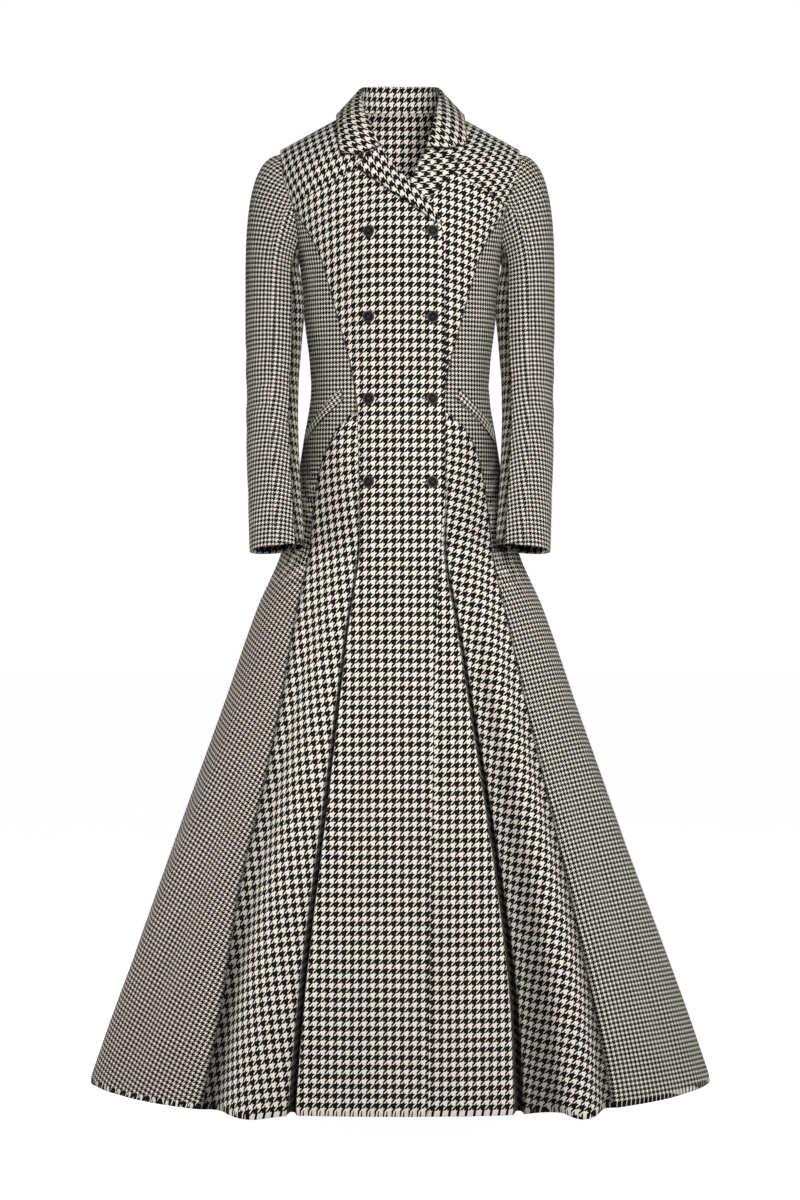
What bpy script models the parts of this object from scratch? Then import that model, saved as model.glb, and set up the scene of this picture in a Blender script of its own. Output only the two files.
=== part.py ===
# A long double-breasted wool coat, hollow, in the shape it takes when worn.
# Metres, +Z up, front towards -Y. The origin lies between the two ends of the
# neck seam on the shoulders. Right and left are the wearer's: right is -X.
# Angles go round the body in degrees from the front centre, + towards +X.

import bisect
import math

import bmesh
import bpy
import numpy as np
from mathutils import Matrix, Vector

CLOTH = 0.002
SEAM_GAP = 0.0004
SLEEVE_GAP = 0.0005
SLEEVE_STEP = 0.0035
SHOULDER_SLOPE = 0.555
SHOULDER_POINT_X = 0.0970
SHOULDER_ROUND_FRONT = 0.085
SHOULDER_ROUND_BACK = 0.062
NECK_ROUND = 0.040
WAIST_HEIGHT = -0.44
HEM_HEIGHT = -1.461
HEM_SIDE_RISE = 0.021
FOLD_DROP = 0.30
UNDERARM_HEIGHT = -0.215
COLLAR_LIFT = 0.0045
WELT_LIFT = 0.0007
WELT_WIDTH = 0.019
BUTTON_RADIUS = 0.0087
BUTTON_LIFT = 0.0005
BUTTON_COLUMN_RIGHT = -0.0450
BUTTON_COLUMN_LEFT = 0.0470
BUTTON_HEIGHTS = (-0.1775, -0.3010, -0.4225, -0.5470)

COLOURS = {
    "large_check": (0.36, 0.34, 0.30, 1.0),
    "small_check": (0.30, 0.28, 0.25, 1.0),
    "button": (0.010, 0.010, 0.010, 1.0),
}
ROUGHNESS = {"large_check": 0.9, "small_check": 0.9, "button": 0.35}

# height, half width, depth in front, depth behind, squareness of the section
BODY_RINGS = (
    (0.0600, 0.1860, 0.054, 0.070, 2.4),
    (0.0000, 0.1900, 0.068, 0.078, 2.4),
    (-0.0600, 0.1890, 0.090, 0.092, 2.4),
    (-0.1300, 0.1720, 0.112, 0.101, 2.4),
    (-0.1800, 0.1580, 0.124, 0.103, 2.4),
    (-0.2300, 0.1490, 0.129, 0.101, 2.3),
    (-0.3075, 0.1425, 0.119, 0.094, 2.2),
    (-0.3600, 0.1370, 0.106, 0.088, 2.2),
    (-0.3930, 0.1340, 0.101, 0.086, 2.2),
    (-0.4275, 0.1360, 0.103, 0.090, 2.2),
    (-0.4725, 0.1430, 0.112, 0.102, 2.2),
    (-0.5600, 0.1575, 0.131, 0.130, 2.1),
    (-0.6525, 0.1790, 0.152, 0.158, 2.0),
    (-0.7350, 0.2145, 0.170, 0.184, 2.0),
    (-0.8850, 0.2660, 0.202, 0.226, 2.0),
    (-1.1100, 0.3460, 0.247, 0.287, 2.0),
    (-1.3350, 0.4250, 0.290, 0.343, 2.0),
    (-1.4610, 0.4660, 0.313, 0.373, 2.0),
)

# height, angle of the gore seam right, left: each lies at the edge of a deep fold
GORE_SEAM = (
    (-0.440, 24.7, 24.7),
    (-0.560, 21.0, 24.0),
    (-0.660, 19.5, 21.1),
    (-0.800, 19.8, 22.1),
    (-1.000, 19.7, 23.2),
    (-1.250, 19.7, 23.0),
    (-1.461, 18.9, 20.8),
)

# height, angle of the hip seam right, left
HIP_SEAM = (
    (-0.4400, 25.6, 25.6),
    (-0.4490, 31.0, 31.8),
    (-0.4645, 38.2, 39.4),
    (-0.4925, 45.0, 47.2),
    (-0.5240, 50.2, 51.4),
    (-0.5830, 51.5, 52.5),
    (-0.6500, 49.0, 50.0),
    (-0.7156, 46.0, 46.6),
    (-0.8510, 42.4, 45.0),
    (-1.0000, 41.0, 44.2),
    (-1.1360, 40.9, 43.5),
    (-1.3090, 38.4, 42.4),
    (-1.4610, 38.0, 41.5),
)

# height, distance of the princess seam from the centre line
PRINCESS_SEAM = (
    (-0.1337, 0.1592),
    (-0.1570, 0.1460),
    (-0.1900, 0.1275),
    (-0.2200, 0.1155),
    (-0.2822, 0.0975),
    (-0.3271, 0.0850),
    (-0.3651, 0.0745),
    (-0.4123, 0.0655),
    (-0.4400, 0.0627),
)

# height, angle of the back seam below the waist, from the back centre
BACK_SEAM = (
    (-0.440, 25.2),
    (-0.560, 31.0),
    (-0.700, 35.0),
    (-1.000, 38.0),
    (-1.461, 40.0),
)

# height, distance of the armhole edge from the centre line
ARMHOLE_EDGE = (
    (-0.0461, 0.1800),
    (-0.0820, 0.1755),
    (-0.1100, 0.1675),
    (-0.1337, 0.1592),
)

# height, X of the inner edge of the right front: neck, roll line, front edge
RIGHT_FRONT_EDGE = (
    (0.0150, -0.0700),
    (0.0020, -0.0635),
    (-0.0120, -0.0555),
    (-0.0330, -0.0440),
    (-0.0492, -0.0345),
    (-0.0795, -0.0142),
    (-0.1085, 0.0122),
    (-0.1425, 0.0404),
    (-0.1730, 0.0610),
    (-0.2100, 0.0630),
    (-0.3000, 0.0645),
    (-0.4300, 0.0660),
    (-0.5500, 0.0655),
    (-0.6200, 0.0600),
    (-0.7200, 0.0540),
    (-1.0500, 0.0464),
    (-1.4610, 0.0400),
)

# height, X of the inner edge of the left front, which ends under the right one
LEFT_FRONT_EDGE = (
    (0.0150, 0.0700),
    (0.0020, 0.0645),
    (-0.0120, 0.0580),
    (-0.0330, 0.0500),
    (-0.0525, 0.0425),
    (-0.0795, 0.0293),
    (-0.1055, 0.0142),
    (-0.1400, -0.0040),
    (-0.1730, -0.0207),
    (-0.2100, -0.0360),
    (-0.2500, -0.0450),
    (-0.3000, -0.0480),
    (-0.5500, -0.0460),
    (-0.6400, -0.0420),
    (-0.7200, -0.0430),
    (-1.0500, -0.0430),
    (-1.4610, -0.0400),
)

# height, how far the right front lies out over the left one, width over which it rises
LAP_LIFT = (
    (0.013, 0.0, 0.050),
    (-0.050, 0.0020, 0.050),
    (-0.100, 0.0070, 0.060),
    (-0.190, 0.0070, 0.060),
    (-0.260, 0.0050, 0.045),
    (-0.340, 0.0044, 0.026),
    (-0.400, 0.0034, 0.012),
    (-0.600, 0.0030, 0.010),
    (-0.900, 0.0030, 0.025),
    (-1.461, 0.0030, 0.035),
)

# rows of the yokes, fronts and back: height at the outer edge, height at the inner edge
UPPER_ROWS = (
    (-0.0461, 0.0150),
    (-0.0480, 0.0120),
    (-0.0545, 0.0030),
    (-0.0660, -0.0120),
    (-0.0850, -0.0270),
    (-0.1030, -0.0400),
    (-0.1200, -0.0510),
    (-0.1337, -0.0605),
    (-0.1570, -0.0850),
    (-0.1900, -0.1130),
    (-0.2200, -0.1420),
    (-0.2500, -0.1750),
    (-0.2822, -0.2250),
    (-0.3271, -0.2900),
    (-0.3651, -0.3520),
)
LOWER_HEIGHTS = (
    -0.4030, -0.4220, -0.4400, -0.4490, -0.4645, -0.4925, -0.5240, -0.5600, -0.6050,
    -0.6600, -0.7200, -0.8000, -0.8900, -0.9800, -1.0700, -1.1700, -1.2700, -1.3700, -1.4610,
)
# the yoke seam lies on this row, which ends where the armhole meets the princess seam
ARMHOLE_ROWS = 7

# back neck: half width, height at its ends, height at the centre; columns of half the back, from the centre
BACK_NECK = (0.0700, 0.0150, 0.0180)
BACK_COLUMNS = (0.0, 0.17, 0.29, 0.36, 0.389, 0.52, 0.68, 0.84, 1.0)

# folds beside each gore seam: angle out from the seam, depth at the hem, half width, start height
RIGHT_FOLDS = (
    (1.15, -0.048, 0.8, -0.48),
    (9.00, 0.022, 5.5, -0.60),
    (16.50, -0.020, 2.1, -0.70),
)
LEFT_FOLDS = (
    (1.50, -0.052, 1.0, -0.48),
    (6.00, -0.022, 4.0, -0.55),
    (14.00, 0.030, 5.0, -0.58),
    (19.50, -0.018, 1.6, -0.72),
)

# columns of a gore along its crease, as parts of the crease's angle out from the seam
CREASE_COLUMNS = (0.0, 0.40, 0.74, 1.0, 1.26, 1.70, 2.35)
# width of a gore, in degrees, from which these columns lie full along the crease
CREASED_GORE = 12.0

# folds of the sides and back: angle, depth at the hem, half width, start height
REAR_FOLDS = (
    (-118.0, -0.022, 8.0, -0.65),
    (121.0, -0.020, 8.0, -0.68),
    (-136.0, 0.022, 8.0, -0.65),
    (138.0, 0.020, 8.0, -0.62),
    (-154.0, -0.034, 6.5, -0.60),
    (157.0, -0.036, 6.5, -0.58),
    (-176.0, 0.024, 10.0, -0.60),
    (184.0, 0.024, 10.0, -0.60),
)

# sleeve rings: height, centre out from the middle, centre Y, half width, half depth
SLEEVE_RINGS = (
    (-0.2500, 0.1912, -0.010, 0.0403, 0.060),
    (-0.3450, 0.1898, -0.022, 0.0412, 0.058),
    (-0.4050, 0.1905, -0.036, 0.0392, 0.055),
    (-0.4725, 0.1900, -0.059, 0.0388, 0.052),
    (-0.5550, 0.1862, -0.092, 0.0392, 0.049),
    (-0.6450, 0.1810, -0.127, 0.0405, 0.047),
)
SLEEVE_CAP_STEPS = 5
SLEEVE_LOWER_STEPS = 9
CUFF_FRONT_RISE = 0.006
CUFF_INNER_RISE = 0.004
ARMHOLE_CENTRE = (0.0, -0.135)
ARMHOLE_REACH = (0.055, 0.081)
UNDER_SLEEVE_FROM = 128.0
UNDER_SLEEVE_TO = 238.0

# collar sections, right front end round the back to the left front end:
# neck seam x, height; fold x, y, z; edge of the fall x, height; drop and swell of its middle; 1 on the back
COLLAR_SECTIONS = (
    (0, -0.0362, -0.0465, -0.0325, -0.0905, -0.0480, -0.0870, -0.0600, 0.012, 0.0095, 0),
    (1, -0.0440, -0.0330, -0.0425, -0.0810, -0.0230, -0.0895, -0.0420, 0.004, 0.0080, 0),
    (2, -0.0560, -0.0112, -0.0550, -0.0510, 0.0110, -0.0910, -0.0150, 0.0, 0.0040, 0),
    (3, -0.0700, 0.0150, -0.0590, 0.0020, 0.0440, -0.0900, 0.0037, 0.0, 0.0010, 1),
    (4, -0.0500, 0.0164, -0.0430, 0.0420, 0.0530, -0.0700, 0.0040, 0.0, 0.0030, 1),
    (5, 0.0000, 0.0180, 0.0000, 0.0600, 0.0550, 0.0000, 0.0040, 0.0, 0.0040, 1),
    (6, 0.0500, 0.0164, 0.0430, 0.0420, 0.0530, 0.0700, 0.0040, 0.0, 0.0030, 1),
    (7, 0.0700, 0.0150, 0.0590, 0.0020, 0.0440, 0.0900, 0.0037, 0.0, 0.0010, 1),
    (8, 0.0583, -0.0112, 0.0560, -0.0510, 0.0110, 0.0940, -0.0150, 0.0, 0.0040, 0),
    (9, 0.0500, -0.0330, 0.0480, -0.0810, -0.0230, 0.0965, -0.0380, 0.002, 0.0080, 0),
    (10, 0.0443, -0.0475, 0.0420, -0.0905, -0.0490, 0.0930, -0.0490, 0.009, 0.0095, 0),
)
COLLAR_STEPS = 22
COLLAR_ACROSS = (0.0, 0.12, 0.24, 0.35, 0.46, 0.58, 0.70, 0.85, 1.0)
COLLAR_RISE = 0.0012
COLLAR_INSET = 0.0018

# lapel rows from the gorge to the break: roll line x, height; outer edge x, height; size of the roll
LAPEL_RIGHT = (
    (0, -0.0335, -0.0515, -0.0667, -0.0790, 1.0),
    (1, -0.0147, -0.0790, -0.0440, -0.0960, 1.0),
    (2, 0.0122, -0.1085, -0.0133, -0.1197, 1.0),
    (3, 0.0404, -0.1425, 0.0251, -0.1470, 0.9),
    (4, 0.0570, -0.1670, 0.0515, -0.1665, 0.5),
)
LAPEL_LEFT = (
    (0, 0.0425, -0.0525, 0.0900, -0.0737, 1.0),
    (1, 0.0295, -0.0795, 0.0613, -0.1075, 0.8),
    (2, 0.0142, -0.1055, 0.0369, -0.1350, 0.25),
    (3, -0.0020, -0.1340, 0.0180, -0.1600, 0.1),
    (4, -0.0135, -0.1550, 0.0010, -0.1800, 0.1),
)
LAPEL_STEPS = 10

# section of a lapel at its roll: reach past the roll line, height of the cloth's middle over the front
LAPEL_ROLL = (
    (0.0017, -0.0007),
    (0.0032, 0.0001),
    (0.0040, 0.0021),
    (0.0030, 0.0042),
    (0.0000, 0.0052),
)
# section of a lapel beyond its roll: part of its width, height of the cloth's middle over the front
LAPEL_FALL = ((0.25, 0.0050), (0.50, 0.0043), (0.75, 0.0034), (1.00, 0.0026))

# pocket welt, upper edge: angle and height at its front end and at its rear end
WELT_FRONT = (38.0, -0.405)
WELT_REAR = (74.0, -0.468)
WELT_STEPS = 8

# section of a button: radius, height
BUTTON_SECTION = (
    (0.0, 0.0),
    (0.0080, 0.0),
    (0.0087, 0.0008),
    (0.0087, 0.0022),
    (0.0078, 0.0031),
    (0.0067, 0.0031),
    (0.0058, 0.0021),
    (0.0, 0.0021),
)
BUTTON_SIDES = 16


def along(table, at):
    """Columns after the first of a table at one value of the first, on a smooth curve through its rows."""
    rows = sorted(table)
    keys = [row[0] for row in rows]
    at = min(max(at, keys[0]), keys[-1])
    i = min(max(bisect.bisect_right(keys, at) - 1, 0), len(keys) - 2)
    values = [np.array(row[1:], float) for row in rows]
    slopes = []
    for k in (i, i + 1):
        low, high = max(k - 1, 0), min(k + 1, len(keys) - 1)
        slopes.append((values[high] - values[low]) / (keys[high] - keys[low]))
    span = keys[i + 1] - keys[i]
    t = (at - keys[i]) / span
    start = values[i] * (1 + 2 * t) * (1 - t) ** 2 + slopes[0] * span * t * (1 - t) ** 2
    end = values[i + 1] * t * t * (3 - 2 * t) + slopes[1] * span * t * t * (t - 1)
    return start + end


def smooth_step(t):
    t = min(max(t, 0.0), 1.0)
    return t * t * (3 - 2 * t)


def shoulder_height(x):
    """Height of the shoulder line, rounded over where it would cross the neck."""
    away = abs(x)
    if away < NECK_ROUND:
        away = (away * away / NECK_ROUND + NECK_ROUND) / 2
    return SHOULDER_SLOPE * (SHOULDER_POINT_X - away)


def shoulder_closing(x, height, round_over):
    """Share of the depth that is left near the shoulder line, where front and back meet."""
    t = min(max((shoulder_height(x) - height) / round_over, 0.0), 1.0)
    return math.sqrt(1 - (1 - t) ** 2)


def fold_sum(folds, angle, height):
    """Depth of some folds together at one place, each growing from its start height to the hem."""
    total = 0.0
    for centre, depth, half, start in folds:
        if height < start:
            grown = ((start - height) / (start - HEM_HEIGHT)) ** 0.9
            away = (angle - centre + 180) % 360 - 180
            total += depth * grown * math.exp(-((away / half) ** 2))
    return total


def fold_depths(angle, height, lapped):
    """How far the skirt comes forward in the front folds, and out in the others.

    A lapped front lies flat over the folds left of it.
    """
    right, left = along(GORE_SEAM, height)
    front = [(-right - out, depth, half, start) for out, depth, half, start in RIGHT_FOLDS]
    if not lapped:
        front += [(left + out, depth, half, start) for out, depth, half, start in LEFT_FOLDS]
    return fold_sum(front, angle, height), fold_sum(REAR_FOLDS, angle, height)


def body_point(angle, height, lapped=False):
    """Point of the coat's outer face."""
    half_width, front, back, square = along(BODY_RINGS, height)
    sine, cosine = math.sin(math.radians(angle)), math.cos(math.radians(angle))
    x = half_width * math.copysign(abs(sine) ** (2 / square), sine)
    y = -math.copysign(abs(cosine) ** (2 / square), cosine)
    if cosine > 0:
        y *= front * shoulder_closing(x, height, SHOULDER_ROUND_FRONT)
    else:
        y *= back * shoulder_closing(x, height, SHOULDER_ROUND_BACK)
    z = height
    if height < WAIST_HEIGHT:
        forward, outward = fold_depths(angle, height, lapped)
        out = 1 + outward / math.hypot(x, y)
        x, y = x * out, y * out - forward
        down = (WAIST_HEIGHT - height) / (WAIST_HEIGHT - HEM_HEIGHT)
        z += HEM_SIDE_RISE * sine ** 4 * down ** 2 - FOLD_DROP * max(forward + outward, 0.0)
    return np.array((x, y, z))


def body_normal(angle, height, lapped=False):
    turn, rise = 0.01, 0.00005
    round_body = body_point(angle + turn, height, lapped) - body_point(angle - turn, height, lapped)
    up_body = body_point(angle, height + rise, lapped) - body_point(angle, height - rise, lapped)
    normal = np.cross(round_body, up_body)
    return normal / np.linalg.norm(normal)


def on_body(angle, height, lift=0.0, lapped=False):
    """Point at a distance out from the coat's outer face, and the direction out."""
    normal = body_normal(angle, height, lapped)
    return body_point(angle, height, lapped) + normal * lift, normal


def angle_at(x, height, behind=False):
    half_width, _, _, square = along(BODY_RINGS, height)
    angle = math.degrees(math.asin(min(abs(x) / half_width, 1.0) ** (square / 2)))
    if behind:
        angle = 180 - angle
    return math.copysign(angle, x)


def x_at(angle, height):
    """X at an angle, leaving out the folds."""
    half_width, _, _, square = along(BODY_RINGS, height)
    sine = math.sin(math.radians(angle))
    return half_width * math.copysign(abs(sine) ** (2 / square), sine)


def seam_angle(table, side, height):
    right, left = along(table, height)
    return right if side < 0 else left


def front_seam_x(side, height):
    """Distance from the centre line of a front's armhole edge, princess seam and gore seam."""
    if height > PRINCESS_SEAM[0][0]:
        return along(ARMHOLE_EDGE, height)[0]
    if height > WAIST_HEIGHT:
        return along(PRINCESS_SEAM, height)[0]
    return x_at(seam_angle(GORE_SEAM, side, height), height)


def side_front_angle(side, height):
    """Angle of the front edge of a side panel."""
    if height > WAIST_HEIGHT:
        return angle_at(along(PRINCESS_SEAM, height)[0], height)
    return seam_angle(HIP_SEAM, side, height)


def side_back_angle(height):
    if height > WAIST_HEIGHT:
        return 180 - angle_at(along(PRINCESS_SEAM, height)[0], height)
    return 180 - along(BACK_SEAM, height)[0]


def lap_lift(x, height):
    """How far out the right front lies, over the edge of the left one."""
    edge = along(LEFT_FRONT_EDGE, height)[0]
    lift, ramp = along(LAP_LIFT, height)
    return lift * smooth_step((x - edge + 0.001) / ramp + 1)


def front_face(x, height):
    """Point of the outer face of the right front."""
    return on_body(angle_at(x, height), height, lap_lift(x, height), True)[0]


def panel_rows():
    return UPPER_ROWS + tuple((height, height) for height in LOWER_HEIGHTS)


def place_front(side, columns, first, last):
    """Grid of a yoke or a front between two rows, from its outer edge to its inner edge."""
    rows = panel_rows()
    edge = RIGHT_FRONT_EDGE if side < 0 else LEFT_FRONT_EDGE

    def place(i, k):
        j = first + k
        outer_height, inner_height = rows[j]
        outer = side * (front_seam_x(side, outer_height) - SEAM_GAP / 2)
        inner = along(edge, inner_height)[0]
        part = (i / columns) ** 1.5
        x = outer + (inner - outer) * part
        height = outer_height + (inner_height - outer_height) * part
        if j == 0:
            height = shoulder_height(x)
        elif j == ARMHOLE_ROWS:
            height += SEAM_GAP / 2 if k else -SEAM_GAP / 2
        lift = lap_lift(x, height) if side < 0 else 0.0
        point, normal = on_body(angle_at(x, height), height, lift, side < 0)
        if j == 0:
            point[1] -= SEAM_GAP / 2
        return point, normal

    return place, last - first


def place_gore(side, columns):
    """Grid of one front gore, from the gore seam to the hip seam, with columns along its crease."""
    heights = [height for height in LOWER_HEIGHTS if height <= WAIST_HEIGHT]
    folds = RIGHT_FOLDS if side < 0 else LEFT_FOLDS
    beside = [part * folds[0][0] for part in CREASE_COLUMNS]
    count = len(beside) - 1

    def place(i, j):
        height = heights[j]
        seam = seam_angle(GORE_SEAM, side, height)
        width = seam_angle(HIP_SEAM, side, height) - seam
        even = width * i / columns
        if i <= count:
            creased = beside[i]
        else:
            creased = beside[-1] + (width - beside[-1]) * (i - count) / (columns - count)
        out = even + (creased - even) * min(width / CREASED_GORE, 1.0)
        first, last = x_at(seam, height), x_at(seam + width, height)
        part = (x_at(seam + out, height) - first) / (last - first)
        x = side * (first + SEAM_GAP / 2 + (last - first - SEAM_GAP) * part)
        return on_body(angle_at(x, height), height)

    return place, len(heights) - 1


def place_side(side, columns):
    """Grid of one side, from the front seam to the back seam, cut out under the arm."""
    heights = [row[0] for row in panel_rows()[ARMHOLE_ROWS:]]
    top = heights[0]

    def place(i, j):
        part = i / columns
        height = heights[j]
        front_angle = side_front_angle(side, height)
        back_angle = side_back_angle(height)
        angle = front_angle + (back_angle - front_angle) * part
        fade = max(0.0, 1 - (top - height) / 0.16)
        height += (UNDERARM_HEIGHT - top) * (1 - abs(2 * part - 1) ** 2.5) * fade
        point, normal = on_body(side * angle, height)
        if i in (0, columns):
            along_row = on_body(side * (angle + 0.2), height)[0] - point
            along_row /= np.linalg.norm(along_row)
            point = point + along_row * (SEAM_GAP / 2 if i == 0 else -SEAM_GAP / 2)
        return point, normal

    return place, len(heights) - 1


def back_top(x):
    """Height of the top edge of the back: shoulder seams and neck."""
    half, ends, centre = BACK_NECK
    if abs(x) > half:
        return shoulder_height(x)
    return centre - (centre - ends) * (x / half) ** 2


def place_back():
    """Grid of the back, from the right armhole and back seam to the left ones."""
    rows = panel_rows()
    parts = [-part for part in reversed(BACK_COLUMNS[1:])] + list(BACK_COLUMNS)

    def place(i, j):
        outer_height = rows[j][0]
        if outer_height > PRINCESS_SEAM[0][0]:
            outer = along(ARMHOLE_EDGE, outer_height)[0]
        elif outer_height > WAIST_HEIGHT:
            outer = along(PRINCESS_SEAM, outer_height)[0]
        else:
            outer = x_at(along(BACK_SEAM, outer_height)[0], outer_height)
        part = parts[i]
        x = part * (outer - SEAM_GAP / 2)
        fade = max(0.0, 1 - (j / 11) ** 2)
        top = back_top(part * ARMHOLE_EDGE[0][1])
        height = outer_height + (top - ARMHOLE_EDGE[0][0]) * fade
        if j == 0:
            height = back_top(x)
        point, normal = on_body(angle_at(x, height, True), height)
        if j == 0:
            point[1] += SEAM_GAP / 2
        return point, normal

    return place, len(parts) - 1, len(rows) - 1


def armhole_loop(side, columns):
    """Armhole edge of the front, the side and the back, in that order, from the shoulder round to it."""
    front = [row[0] for row in UPPER_ROWS[:ARMHOLE_ROWS]]
    loop = []
    for height in front:
        loop.append(body_point(angle_at(side * along(ARMHOLE_EDGE, height)[0], height), height))
    place, _ = place_side(side, columns)
    loop += [place(i, 0)[0] for i in range(columns + 1)]
    for height in reversed(front[1:]):
        loop.append(body_point(angle_at(side * along(ARMHOLE_EDGE, height)[0], height, True), height))
    return loop


def sleeve_grid(side, columns):
    """Points of a sleeve, one column from each armhole point to the cuff, and the angle of each column."""
    grid, turns = [], []
    first = SLEEVE_RINGS[0][0]
    last = SLEEVE_RINGS[-1][0]
    for start in armhole_loop(side, columns):
        forward = (ARMHOLE_CENTRE[0] - start[1]) / ARMHOLE_REACH[0]
        upward = (start[2] - ARMHOLE_CENTRE[1]) / ARMHOLE_REACH[1]
        turn = math.atan2(forward, upward)
        turns.append(math.degrees(turn) % 360)

        def ring_point(height):
            centre_x, centre_y, half_width, half_depth = along(SLEEVE_RINGS, height)
            x = side * (centre_x + half_width * math.cos(turn))
            return np.array((x, centre_y - half_depth * math.sin(turn), height))

        outness = (1 + math.cos(turn)) / 2
        leave = np.array((side * (0.4 + 0.6 * outness), -0.35 * math.sin(turn), -0.10 - 0.90 * (1 - outness)))
        leave *= 0.02 + 0.13 * outness
        begin = start + np.array((side * SLEEVE_GAP, 0, -SLEEVE_STEP * outness ** 3))
        end = ring_point(first)
        arrive = np.array((0, 0, (end[2] - begin[2]) * 1.2))
        column = []
        for k in range(SLEEVE_CAP_STEPS):
            t = k / SLEEVE_CAP_STEPS
            point = begin * (1 + 2 * t) * (1 - t) ** 2 + leave * t * (1 - t) ** 2
            column.append(point + end * t * t * (3 - 2 * t) + arrive * t * t * (t - 1))
        for k in range(SLEEVE_LOWER_STEPS + 1):
            t = k / SLEEVE_LOWER_STEPS
            point = ring_point(first + (last - first) * t)
            point[2] += t * (CUFF_FRONT_RISE * math.sin(turn) - CUFF_INNER_RISE * math.cos(turn))
            column.append(point)
        grid.append(column)
    return np.array(grid), turns


def grid_normals(grid, closed):
    """Direction out at each point of a grid, from its neighbours."""
    across = np.gradient(grid, axis=0)
    if closed:
        across = np.roll(grid, -1, axis=0) - np.roll(grid, 1, axis=0)
    normals = np.cross(across, np.gradient(grid, axis=1))
    return normals / np.linalg.norm(normals, axis=2, keepdims=True)


def neck_point(key, x, height):
    """Point beside the neck seam, a little towards the middle of the neck."""
    behind = COLLAR_SECTIONS[3][0] <= key <= COLLAR_SECTIONS[7][0]
    if behind:
        x = min(max(x, -BACK_NECK[0]), BACK_NECK[0])
        height = back_top(x)
    else:
        x = along(RIGHT_FRONT_EDGE if x < 0 else LEFT_FRONT_EDGE, height)[0]
    point = body_point(angle_at(x, height, behind), height)
    inward = -point[:2] / np.linalg.norm(point[:2])
    point[:2] += inward * COLLAR_INSET
    point[2] += COLLAR_RISE
    return point


def collar_grid():
    """Middle of the collar's cloth, section by section from the right front end to the left one."""
    sections = []
    for key, neck_x, neck_height, *fold, edge_x, edge_height, drop, swell, behind in COLLAR_SECTIONS:
        edge, out = on_body(angle_at(edge_x, edge_height, bool(behind)), edge_height, COLLAR_LIFT)
        middle = (np.array(fold) + edge) / 2 + out * swell
        middle[2] -= drop
        sections.append((key, neck_x, neck_height, *fold, *middle, *edge))
    grid = []
    for k in range(COLLAR_STEPS + 1):
        key = sections[-1][0] * k / COLLAR_STEPS
        neck_x, neck_height, *rest = along(sections, key)
        fold, middle, edge = np.reshape(rest, (3, 3))
        neck = neck_point(key, neck_x, neck_height)
        path = ((0.0, *neck), (0.35, *fold), (0.70, *middle), (1.0, *edge))
        grid.append([along(path, part) for part in COLLAR_ACROSS])
    return np.array(grid)


def lapel_grid(side):
    """Middle of a lapel's cloth, row by row from the gorge to the break, from the front round the roll."""
    table = LAPEL_RIGHT if side < 0 else LAPEL_LEFT
    grid = []
    for k in range(LAPEL_STEPS + 1):
        roll_x, roll_height, edge_x, edge_height, size = along(table, 4 * k / LAPEL_STEPS)
        roll, edge = np.array((roll_x, roll_height)), np.array((edge_x, edge_height))
        neckward = (roll - edge) / np.linalg.norm(roll - edge)
        row = []
        for reach, level in LAPEL_ROLL:
            x, height = roll + neckward * (LAPEL_ROLL[0][0] + (reach - LAPEL_ROLL[0][0]) * size)
            row.append((x, height, 0.0022 + (level - 0.0022) * size if level > 0.0022 else level))
        for part, level in LAPEL_FALL:
            x, height = roll + (edge - roll) * part
            row.append((x, height, 0.0022 + (level - 0.0022) * size))
        points = []
        for x, height, level in row:
            lift = lap_lift(x, height) if side < 0 else 0.0
            points.append(on_body(angle_at(x, height), height, lift + level)[0])
        grid.append(points)
    return np.array(grid)


def welt_place(side):
    """Grid of a pocket welt, from its front end to its rear end and from its upper edge down."""

    def place(i, j):
        part = i / WELT_STEPS
        angle = WELT_FRONT[0] + (WELT_REAR[0] - WELT_FRONT[0]) * part
        height = WELT_FRONT[1] + (WELT_REAR[1] - WELT_FRONT[1]) * part
        return on_body(side * (angle - j * 1.2), height - j * WELT_WIDTH / 2, WELT_LIFT)

    return place


def add_material(name, slot):
    material = bpy.data.materials.new(name)
    material.use_nodes = True
    shader = material.node_tree.nodes["Principled BSDF"]
    shader.inputs["Base Color"].default_value = COLOURS[slot]
    shader.inputs["Roughness"].default_value = ROUGHNESS[slot]
    shader.inputs["Metallic"].default_value = 0.0
    return material


def add_piece(name, mesh, slot):
    """Object from a mesh, with its own material."""
    bmesh.ops.recalc_face_normals(mesh, faces=mesh.faces[:])
    data = bpy.data.meshes.new(name)
    mesh.to_mesh(data)
    mesh.free()
    data.shade_smooth()
    data.set_sharp_from_angle(angle=math.radians(50))
    data.materials.append(add_material(name, slot))
    piece = bpy.data.objects.new(name, data)
    bpy.context.scene.collection.objects.link(piece)
    return piece


def add_cloth(name, place, columns, rows, slot, outer=0.0, inner=-CLOTH):
    """Wall of cloth on a grid of points and directions out, between two distances from them."""
    mesh = bmesh.new()
    bmesh.ops.create_grid(mesh, x_segments=columns, y_segments=rows, size=1.0)
    through = {}
    for vert in mesh.verts:
        i = round((vert.co.x + 1) / 2 * columns)
        j = round((1 - vert.co.y) / 2 * rows)
        point, normal = place(i, j)
        vert.co = point + normal * outer
        through[vert.co.to_tuple()] = point + normal * inner
    made = bmesh.ops.extrude_face_region(mesh, geom=mesh.faces[:], use_keep_orig=True)
    for vert in made["geom"]:
        if isinstance(vert, bmesh.types.BMVert):
            vert.co = through[vert.co.to_tuple()]
    return add_piece(name, mesh, slot)


def add_grid_cloth(name, grid, normals, slot, outer, inner):
    columns, rows = grid.shape[0] - 1, grid.shape[1] - 1
    return add_cloth(name, lambda i, j: (grid[i, j], normals[i, j]), columns, rows, slot, outer, inner)


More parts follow.
